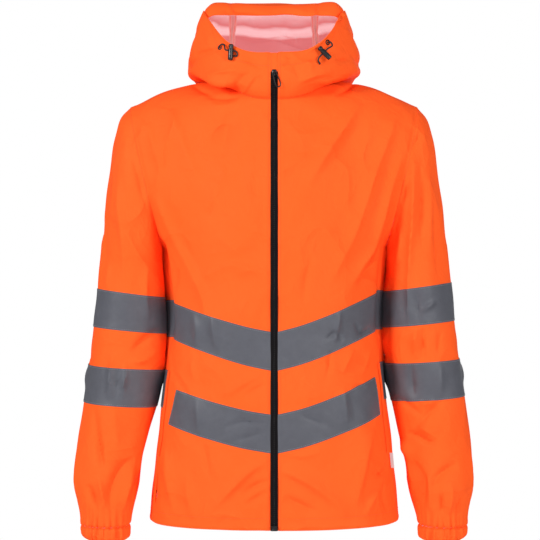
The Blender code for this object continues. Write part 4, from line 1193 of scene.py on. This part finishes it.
HOOD_COAT = hood_coat()
NECK_SEAM = np.concatenate(NECK_SEAM)[::3]
HOOD = {}
CROWN_SEAM = []
for side, word in SIDES:
    grid = lowered(filled_neck(panel_grid(f"hood_{word}", HOOD_COLUMNS, (0.0, -0.10, -0.04))))
    for row, column, *shift in SLACK[side]:
        grid[row, column] += np.array(shift) / 1000
    for column, share in RIM_LAID:
        rim, back = grid[RIM_ROW, column].copy(), grid[BACK_ROW, column].copy()
        for row in (11, 10, 9):
            t = (RIM_ROW - row) / (RIM_ROW - BACK_ROW)
            laid = rim * (1 - t) + back * t + np.array((side * 0.010, -0.002, 0.005)) * t * (1 - t)
            grid[row, column] += (laid - grid[row, column]) * share
    grid[9:12, 7] += np.array((side * 0.003, 0.0, -0.0015))
    crown = seam_line(grid[:, -1])
    CROWN_SEAM.append(crown)
    HOOD[side] = hood_skin(grid, side, crown, "ls")
    hood_piece(word, HOOD[side], (0.33, 0.27), 0.065, high=RIM_CHANNEL, end=0.0024, low=0.0024, start=0.0040)
centre_grids = {side: panel_grid("hood_centre", 3, (0.0, 0.07, 0.015), side) for side, _ in SIDES}
centre_grid = lowered(np.concatenate([centre_grids[-1][:, :0:-1], centre_grids[1]], axis=1))
HOOD_CENTRE = hood_skin(centre_grid, -1, np.concatenate(CROWN_SEAM), "l")
hood_piece("centre", HOOD_CENTRE, (0.16, 0.45), 0.068, high=RIM_CHANNEL, start=0.0024, end=0.0024)

# The seams of the hood inside: taped over against the rain, and stitched down both sides.
SEAM_TAPE_LINES = (0.0078, 0.0056, 0.0034, 0.0012)
SEAM_TAPE_ROWS = 120


def seam_tape_finish():
    """A glossy tape with a slight cockle and a painted pink glow."""
    # Painted glow: a steady pink emission, like the coat the tape lies on.
    tape = Finish(
        "seam_tape", (0.86, 0.66, 0.62), 0.35,
        Emission_Color=(1.0, 0.50, 0.46, 1), Emission_Strength=0.17,
    )
    cloud = tape.texture("Noise", Scale=60.0, Detail=2.0)
    tape.colour(cloud, (0.80, 0.58, 0.54), (0.92, 0.74, 0.70))
    tape.relief(cloud, 0.0006, 0.3)
    return tape.material


SEAM_TAPE = seam_tape_finish()
marks = np.linspace(0, 1, SEAM_TAPE_ROWS)
for side, word in SIDES:
    edge = "end" if side > 0 else "start"
    lines = [HOOD[side].line("end", distance) for distance in SEAM_TAPE_LINES]
    lines += [HOOD_CENTRE.line(edge, distance) for distance in SEAM_TAPE_LINES[::-1]]
    rows, turns = [], []
    for placed, turned in lines:
        at = np.linspace(0, 1, len(placed))
        rows.append(read_at(marks, at, placed - turned * (CLOTH_THICK + 0.0009)))
        turns.append(read_at(marks, at, -turned))
    rows, turns = np.stack(rows, axis=1), np.stack(turns, axis=1)
    turns /= np.linalg.norm(turns, axis=2)[..., None]
    strip = Skin(rows + turns * 0.0003, turns, np.arange(float(SEAM_TAPE_ROWS)), np.arange(8.0))
    tape = made_up(f"hood_seam_tape_{word}", [strip], SEAM_TAPE, SEAM_TAPE, thick=0.0003, turn_in=0.0)
    dress(tape)
    sewn(f"hood_seam_tape_{word}_stitching", along_edges(strip, 0.0002, start=0.0028, end=0.0028))

# Reflective tape: grey cloth faced with tiny glass beads, sewn flat on the shell along both
# its edges. It takes every fold of the cloth under it.
TAPE_LIFT = 0.0009
TAPE_THICK = 0.0006
TAPE_STITCH = 0.0022
POCKET_SLANT = {
    # side: how much the lower strip loses along the slanting pocket, at its low and its high edge
    -1: (0.0070, 0.0200),
    1: (0.0005, 0.0060),
}


def reflective_tape():
    """Grey beaded cloth, cockled a little between its stitches."""
    tape = Finish("reflective_tape", (0.11, 0.112, 0.135), 0.5, Specular_IOR_Level=0.4)
    cloud = tape.texture("Noise", Scale=70.0, Detail=4.0, Roughness=0.65)
    tape.colour(cloud, (0.096, 0.098, 0.118), (0.132, 0.136, 0.162))
    tape.relief(tape.texture("Voronoi", Scale=2600.0), 0.00006, 0.25)
    tape.relief(cloud, 0.0006, 0.25)
    tape.relief(tape.texture("Noise", Scale=36.0, Detail=3.0, Distortion=0.7), 0.0025, 0.35)
    return tape.material


REFLECTIVE = reflective_tape()
GREY_THREAD = twisted_thread("grey_thread", (0.30, 0.31, 0.34), 0.0)


def taped(place, skins, ends=()):
    """A strip of reflective tape over parts of skins, with a stitch line along each edge."""
    strip = made_up(f"reflective_{place}", skins, REFLECTIVE, REFLECTIVE, TAPE_THICK, TAPE_LIFT, 0.0)
    dress(strip, f"tape_{place}")
    edges = [(skin, edge) for skin in skins for edge in ("low", "high")] + list(zip(skins, ends))
    lines = [skin.line(edge, TAPE_STITCH, TAPE_LIFT + STITCH_LIFT) for skin, edge in edges]
    sewn(f"reflective_{place}_stitching", lines, GREY_THREAD)


def slanted(skin, low, high):
    """A strip with its last end cut at a slant: what comes off at its low and its high edge."""
    points, normals = np.empty_like(skin.points), np.empty_like(skin.normals)
    for r, share in enumerate(np.linspace(0, 1, len(points))):
        far = runs(skin.points[r])
        at = far * (1 - (low + (high - low) * share) / far[-1])
        points[r] = read_at(at, far, skin.points[r])
        normals[r] = read_at(at, far, skin.normals[r])
    return Skin(points, normals, skin.ups, skin.acrosses)


for side, word in SIDES:
    taped(f"upper_{word}", [FRONT[side].part(7, 8)])
    lower = slanted(FRONT[side].part(3, 5, 0, 7), *POCKET_SLANT[side])
    taped(f"lower_{word}", [lower], ["end"])
    taped(f"arm_upper_{word}", [SLEEVE[side].part(9, 10)])
    taped(f"arm_lower_{word}", [SLEEVE[side].part(6, 7)])
for name, low, high in (("upper", 7, 8), ("lower", 4, 6)):
    taped(f"{name}_back", [BACK[side].part(low, high) for side, _ in SIDES])

# The zip: two woven tapes that meet over a black coil, with a slider at the neck, a teardrop
# pull, and a box at the foot.
TOOTH_PITCH = 0.0015
TOOTH_REACH = 0.0013
TOOTH_LEAN = 0.0004
ZIP_HALF_PROFILE = (
    # across, out
    (0.0002, 0.0002), (0.0007, 0.0009), (0.0018, 0.0011), (0.0030, 0.0006), (0.0038, 0.0003),
    (0.0054, 0.0003), (0.0059, 0.0000),
)


def zip_weave():
    """The tapes' close black weave, ribbed across."""
    weave = Finish("zip_weave", (0.007, 0.006, 0.007), 0.75, Specular_IOR_Level=0.10)
    ribs = weave.texture("Wave", Scale=95.0, Distortion=0.4, bands_direction="Z")
    weave.colour(ribs, (0.005, 0.004, 0.005), (0.010, 0.008, 0.009))
    weave.relief(ribs, 0.0002, 0.5)
    weave.relief(weave.texture("Wave", Scale=130.0), 0.0002, 0.4)
    return weave.material


def moulded(name, colour, roughness, metallic=0.0):
    """Moulded or painted black: a fine orange-peel over a slightly uneven gloss."""
    paint = Finish(name, colour, roughness, Metallic=metallic, Coat_Weight=0.15)
    grain = paint.texture("Noise", Scale=900.0, Detail=2.0)
    paint.colour(grain, tuple(0.8 * c for c in colour), tuple(1.25 * c for c in colour))
    paint.relief(grain, 0.0001, 0.2)
    return paint.material


ZIP_WEAVE = zip_weave()
ZIP_BLACK = moulded("zip_black", (0.008, 0.007, 0.008), 0.42, 0.2)
strip_grid = filled_neck(panel_grid("zip_strip", 3, (-0.006, -0.12, -0.726), wall=0.0016))
zip_ups = places(strip_grid, False, False)
zip_line = drawn_smooth(strip_grid, zip_ups)[:, 1]
profile = [(-across, out) for across, out in ZIP_HALF_PROFILE[::-1]] + list(ZIP_HALF_PROFILE)
rows = np.array([[p + (across, -out + 0.0006, 0.0) for across, out in profile] for p in zip_line])
zip_skin = Skin(rows, outward(rows, 1), zip_ups, np.arange(float(len(profile))))
tapes = made_up("zip_tapes", [zip_skin], ZIP_WEAVE, ZIP_WEAVE, thick=0.0009, turn_in=0.0)
dress(tapes, "zip_strip")

centre_far = runs(zip_line)
facing = np.array([(0.0, -1.0, 0.0), (0.0, -1.0, 0.0)])
teeth = []
for k in range(int(centre_far[-1] / TOOTH_PITCH)):
    middle = read_at((k + 0.5) * TOOTH_PITCH, centre_far, zip_line)
    lean = TOOTH_LEAN if k % 2 else -TOOTH_LEAN
    ends = np.array([middle + (-TOOTH_REACH, -0.0001, lean), middle + (TOOTH_REACH, -0.0001, lean)])
    teeth.append((ends, facing))
sewn("zip_coil", teeth, ZIP_BLACK, pitch=0.0024, long=0.0024, thick=0.00042)


# The slider: a cast shield over the coil with a bridge, and a teardrop pull of round wire that
# swings on the bridge. The slider stays where the zip is closed to the chin.
SLIDER_RISE = 0.0010
SHIELD_THICK = 0.0018
SHIELD = (
    # height, half width, standing out
    (0.0052, 0.0026, 0.2), (0.0047, 0.0034, 0.7), (0.0030, 0.0038, 1.0), (0.0000, 0.0035, 1.0),
    (-0.0028, 0.0027, 1.0), (-0.0047, 0.0022, 0.8), (-0.0053, 0.0016, 0.3),
)
SHIELD_SECTION = (
    # share of the half width, share of the thickness
    (-1.0, 0.0), (-1.0, 0.45), (-0.72, 0.9), (0.0, 1.0), (0.72, 0.9), (1.0, 0.45), (1.0, 0.0),
)
BRIDGE_STEPS = 12
BRIDGE_OUT = 0.0031
BRIDGE_HALF = 0.0023
BRIDGE_SECTION = ((-1, -0.5), (-0.6, -1), (0.6, -1), (1, -0.5), (1, 0.5), (0.6, 1), (-0.6, 1), (-1, 0.5))
BRIDGE_WIDE = 0.0007
BRIDGE_THICK = 0.00045
PULL_TILT = radians(18)
PULL_WIRE = 0.00095
PULL_STEPS = 80
TEARDROP_HALF = (
    # across, down
    (0.0000, 0.0000), (0.0011, -0.0001), (0.0022, 0.0002), (0.0028, 0.0020), (0.0032, 0.0065),
    (0.0037, 0.0120), (0.0041, 0.0168), (0.0039, 0.0200), (0.0030, 0.0224), (0.0016, 0.0236),
    (0.0000, 0.0240),
)


def finished(name, mesh, shape, paint, smooth=40):
    """A worked shape put into its mesh, shaded smooth between sharp edges and painted."""
    shape.to_mesh(mesh)
    shape.free()
    mesh.shade_smooth()
    mesh.set_sharp_from_angle(angle=radians(smooth))
    mesh.materials.clear()
    mesh.materials.append(paint)
    return shown(name, mesh)


def unit(vector):
    """A direction of length 1."""
    return vector / np.linalg.norm(vector)


def ring_round(middle, radius, first, second, steps):
    """A ring of points round a middle, in the plane of two directions."""
    turns = (2 * pi * k / steps for k in range(steps))
    return [middle + radius * (first * cos(a) + second * sin(a)) for a in turns]


def lofted(name, rings, paint, closed_ends=True, smooth=40):
    """A closed shape through rings of points: with flat ends, or running round to its start."""
    count, steps = len(rings), len(rings[0])
    faces = []
    for j in range(count - 1 if closed_ends else count):
        m = (j + 1) % count
        for k in range(steps):
            n = (k + 1) % steps
            faces.append((j * steps + k, j * steps + n, m * steps + n, m * steps + k))
    if closed_ends:
        faces.append(tuple(range(steps))[::-1])
        faces.append(tuple((count - 1) * steps + k for k in range(steps)))
    mesh = bpy.data.meshes.new(name)
    mesh.from_pydata([tuple(p) for ring in rings for p in ring], [], faces)
    turned = bmesh.new()
    turned.from_mesh(mesh)
    bmesh.ops.recalc_face_normals(turned, faces=turned.faces)
    return finished(name, mesh, turned, paint, smooth)


shield_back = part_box("zip_slider")[1][1] - 0.0003
shield_face = shield_back - SHIELD_THICK
rings = [
    [(share * half, shield_back - depth * out * SHIELD_THICK, SLIDER_RISE + up)
     for share, depth in SHIELD_SECTION]
    for up, half, out in SHIELD
]
dress(lofted("zip_slider_cast", rings, ZIP_BLACK), "zip_slider")

arch = []
for k in range(BRIDGE_STEPS + 1):
    angle = pi * k / BRIDGE_STEPS
    out = shield_face + 0.0004 - BRIDGE_OUT * sin(angle)
    arch.append(np.array((0.0, out, SLIDER_RISE + BRIDGE_HALF * cos(angle))))
sideways = np.array((1.0, 0.0, 0.0))
rings = []
for k, middle in enumerate(arch):
    along = unit(arch[min(k + 1, BRIDGE_STEPS)] - arch[max(k - 1, 0)])
    out = np.cross(sideways, along)
    rings.append([middle + sideways * a * BRIDGE_WIDE + out * b * BRIDGE_THICK for a, b in BRIDGE_SECTION])
dress(lofted("zip_slider_bridge", rings, ZIP_BLACK))

hinge = np.array(frame["record"]["behaviour"]["joints"][0]["pos_m"])
down = np.array((sin(PULL_TILT), 0.0, -cos(PULL_TILT)))
across = np.array((cos(PULL_TILT), 0.0, sin(PULL_TILT)))
teardrop = TEARDROP_HALF + tuple((-a, d) for a, d in TEARDROP_HALF[-2:0:-1])
keys = np.array([hinge + across * a + down * d for a, d in teardrop])[:, None]
at = np.linspace(0, len(teardrop), PULL_STEPS, endpoint=False)
wire = drawn_smooth(keys, at, closed=True)[:, 0]
backwards = np.array((0.0, 1.0, 0.0))
rings = []
for k in range(PULL_STEPS):
    along = unit(wire[(k + 1) % PULL_STEPS] - wire[k - 1])
    rings.append(ring_round(wire[k], PULL_WIRE, unit(np.cross(along, backwards)), backwards, 10))
pull = lofted("zip_pull_teardrop", rings, ZIP_BLACK, closed_ends=False, smooth=60)
dress(pull, "zip_pull", "pull")

# The box at the foot of the zip: moulded round the ends of both tapes.
foot_low, foot_high = (np.array(corner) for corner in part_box("zip_foot_box"))
foot = bmesh.new()
bmesh.ops.create_cube(foot, size=1.0)
for vertex in foot.verts:
    vertex.co = Vector(foot_low + (np.array(vertex.co) + 0.5) * (foot_high - foot_low))
bmesh.ops.bevel(foot, geom=foot.edges[:], offset=0.0006, segments=3, affect="EDGES", profile=0.6)
front_face = min(foot.faces, key=lambda face: face.calc_center_median().y)
bmesh.ops.inset_region(foot, faces=[front_face], thickness=0.0011, depth=-0.0003)
foot_mesh = bpy.data.meshes.new("zip_foot_moulding")
dress(finished("zip_foot_moulding", foot_mesh, foot, ZIP_BLACK), "zip_foot_box")

# The chin guard: a fold of shell cloth over the top of the zip, which keeps it off the chin.
GUARD = cut_skin(panel_grid("chin_guard", 3, (-0.006, -0.12, 0.003)), 1, (), seams="", uneven=0.0002)
guard = made_up("chin_guard_fold", [GUARD], SHELL, COAT, lift=0.0004, turn_in=0.0)
dress(guard, "chin_guard")
sewn("chin_guard_stitching", along_edges(GUARD, 0.0005, start=0.0016))

# The pocket edges: a narrow fold of cloth along each side seam over the pocket's mouth,
# stitched along its front.
POCKET_LIFT = 0.0017
for side, word in SIDES:
    strip = FRONT[side].part(2, 6, 7.35, 8)
    name = f"pocket_edge_{word}_fold"
    welt = made_up(name, [strip], SHELL, COAT, thick=0.0008, lift=POCKET_LIFT, turn_in=0.0)
    dress(welt, f"pocket_edge_{word}")
    sewn(f"pocket_edge_{word}_stitching", along_edges(strip, POCKET_LIFT + STITCH_LIFT, start=0.0018))


# The label: a folded strip of white satin, left blank, caught in the wearer's left side seam.
def satin():
    """White satin with fine ribs."""
    cloth = Finish("label_satin", (0.82, 0.82, 0.82), 0.38)
    ribs = cloth.texture("Wave", Scale=300.0, Distortion=0.3)
    cloth.colour(ribs, (0.76, 0.76, 0.77), (0.86, 0.86, 0.86))
    cloth.relief(ribs, 0.0001, 0.3)
    return cloth.material


label_mesh = frame["nodes"]["side_label"].data.copy()
fold = bmesh.new()
fold.from_mesh(label_mesh)
bmesh.ops.remove_doubles(fold, verts=fold.verts[:], dist=1e-6)
bmesh.ops.dissolve_limit(fold, angle_limit=radians(3), verts=fold.verts[:], edges=fold.edges[:])
bmesh.ops.bevel(fold, geom=fold.edges[:], offset=0.00025, segments=2, affect="EDGES")
dress(finished("side_label_satin", label_mesh, fold, satin()), "side_label")


# The hood cord: a round braid out of an eyelet on each side, through a spring barrel stop and
# back into the hood. The stops slide on the cord and are left where they lie.
def braid():
    """Black braid, plaited from fine yarns."""
    cord = Finish("cord_braid", (0.014, 0.014, 0.016), 0.6)
    plaits = cord.texture("Magic", Scale=900.0, turbulence_depth=1)
    cord.colour(plaits, (0.008, 0.008, 0.010), (0.030, 0.030, 0.034))
    cord.relief(plaits, 0.0003, 0.6)
    return cord.material


BRAID = braid()
FITTING_BLACK = moulded("fitting_black", (0.014, 0.014, 0.016), 0.34)
EYELET_BLACK = moulded("eyelet_black", (0.016, 0.016, 0.018), 0.32, 0.4)
CORD_DIAMETER = 0.0025
CORD_STEPS = 67
STOP_LONG = 0.0255
STOP_RADIUS = 0.0042
HOOD_CORDS = {
    # side: eyelet, its direction, stop, its axis, and the cord's way in millimetres
    -1: (
        (-86.0, -103.12, 44.0), (-0.5053, -0.8605, 0.0640),
        (-69.0, -119.8, 34.0), (0.0499, 0.0, 0.9988),
        (
            (-86.35, -103.72, 44.04), (-88.02, -106.56, 44.26), (-83.8, -109.92, 48.0),
            (-81.0, -111.62, 47.8), (-76.05, -119.8, 37.12), (-73.36, -119.8, 36.91),
            (-64.39, -119.8, 36.19), (-62.09, -119.8, 36.0), (-58.67, -119.8, 32.05),
            (-59.87, -118.8, 27.55), (-63.61, -117.86, 28.63), (-62.69, -114.69, 28.52),
        ),
    ),
    1: (
        (85.0, -103.29, 52.0), (0.5408, -0.8410, 0.0166),
        (80.0, -118.72, 33.0), (-0.7071, 0.0, 0.7071),
        (
            (85.38, -103.88, 52.01), (87.16, -106.65, 52.07), (89.5, -110.09, 51.5),
            (92.5, -111.79, 47.0), (84.19, -118.72, 38.99), (82.28, -118.72, 37.08),
            (75.92, -118.72, 30.72), (74.29, -118.72, 29.09), (70.6, -118.72, 24.4),
            (69.9, -117.72, 20.9), (72.72, -115.88, 16.46), (71.71, -112.74, 16.49),
        ),
    ),
}
STOP_PROFILE = (
    # distance, radius
    (-0.500, 0.40), (-0.500, 0.66), (-0.485, 0.80), (-0.455, 0.92), (-0.40, 0.97), (-0.30, 1.00),
    (0.18, 1.00), (0.205, 0.97), (0.215, 0.88), (0.215, 0.80), (0.305, 0.80), (0.305, 0.90),
    (0.320, 0.97), (0.36, 0.99), (0.43, 0.95), (0.475, 0.84), (0.495, 0.66), (0.500, 0.40),
)
EYELET_PROFILE = (
    # distance, radius
    (0.0006, 0.0023), (0.0006, 0.0045), (0.0011, 0.0046), (0.0016, 0.0043), (0.00195, 0.0037),
    (0.0020, 0.0031), (0.0018, 0.0026), (0.0013, 0.0023),
)
ASKEW = np.array((0.3, 0.5, 0.8))


def turned_rings(profile, centre, axis, scale_along=1.0, scale_round=1.0, steps=28):
    """The rings of a turned piece: its profile's distances and radii about an axis."""
    axis = unit(np.array(axis))
    side = unit(np.cross(axis, ASKEW))
    up = np.cross(axis, side)
    middle = np.array(centre) / 1000
    return [
        ring_round(middle + axis * distance * scale_along, radius * scale_round, side, up, steps)
        for distance, radius in profile
    ]


for side, word in SIDES:
    eye, eye_out, stop, stop_axis, way = HOOD_CORDS[side]
    rings = turned_rings(EYELET_PROFILE, eye, eye_out)
    eyelet = lofted(f"cord_eyelet_{word}_ring", rings, EYELET_BLACK, closed_ends=False, smooth=50)
    dress(eyelet, f"cord_eyelet_{word}")
    rings = turned_rings(STOP_PROFILE, stop, stop_axis, STOP_LONG, STOP_RADIUS)
    barrel = lofted(f"cord_stop_{word}_barrel", rings, FITTING_BLACK, smooth=35)
    dress(barrel, f"cord_stop_{word}")
    keys = np.array(way)[:, None] / 1000
    path = drawn_smooth(keys, np.linspace(0, len(way) - 1, CORD_STEPS))[:, 0]
    rings, turn = [], ASKEW
    for k in range(CORD_STEPS):
        along = unit(path[min(k + 1, CORD_STEPS - 1)] - path[max(k - 1, 0)])
        turn = unit(turn - along * (turn @ along))
        rings.append(ring_round(path[k], CORD_DIAMETER / 2, turn, np.cross(along, turn), 12))
    cord = lofted(f"hood_cord_{word}_braid", rings, BRAID, smooth=60)
    dress(cord, f"hood_cord_{word}")
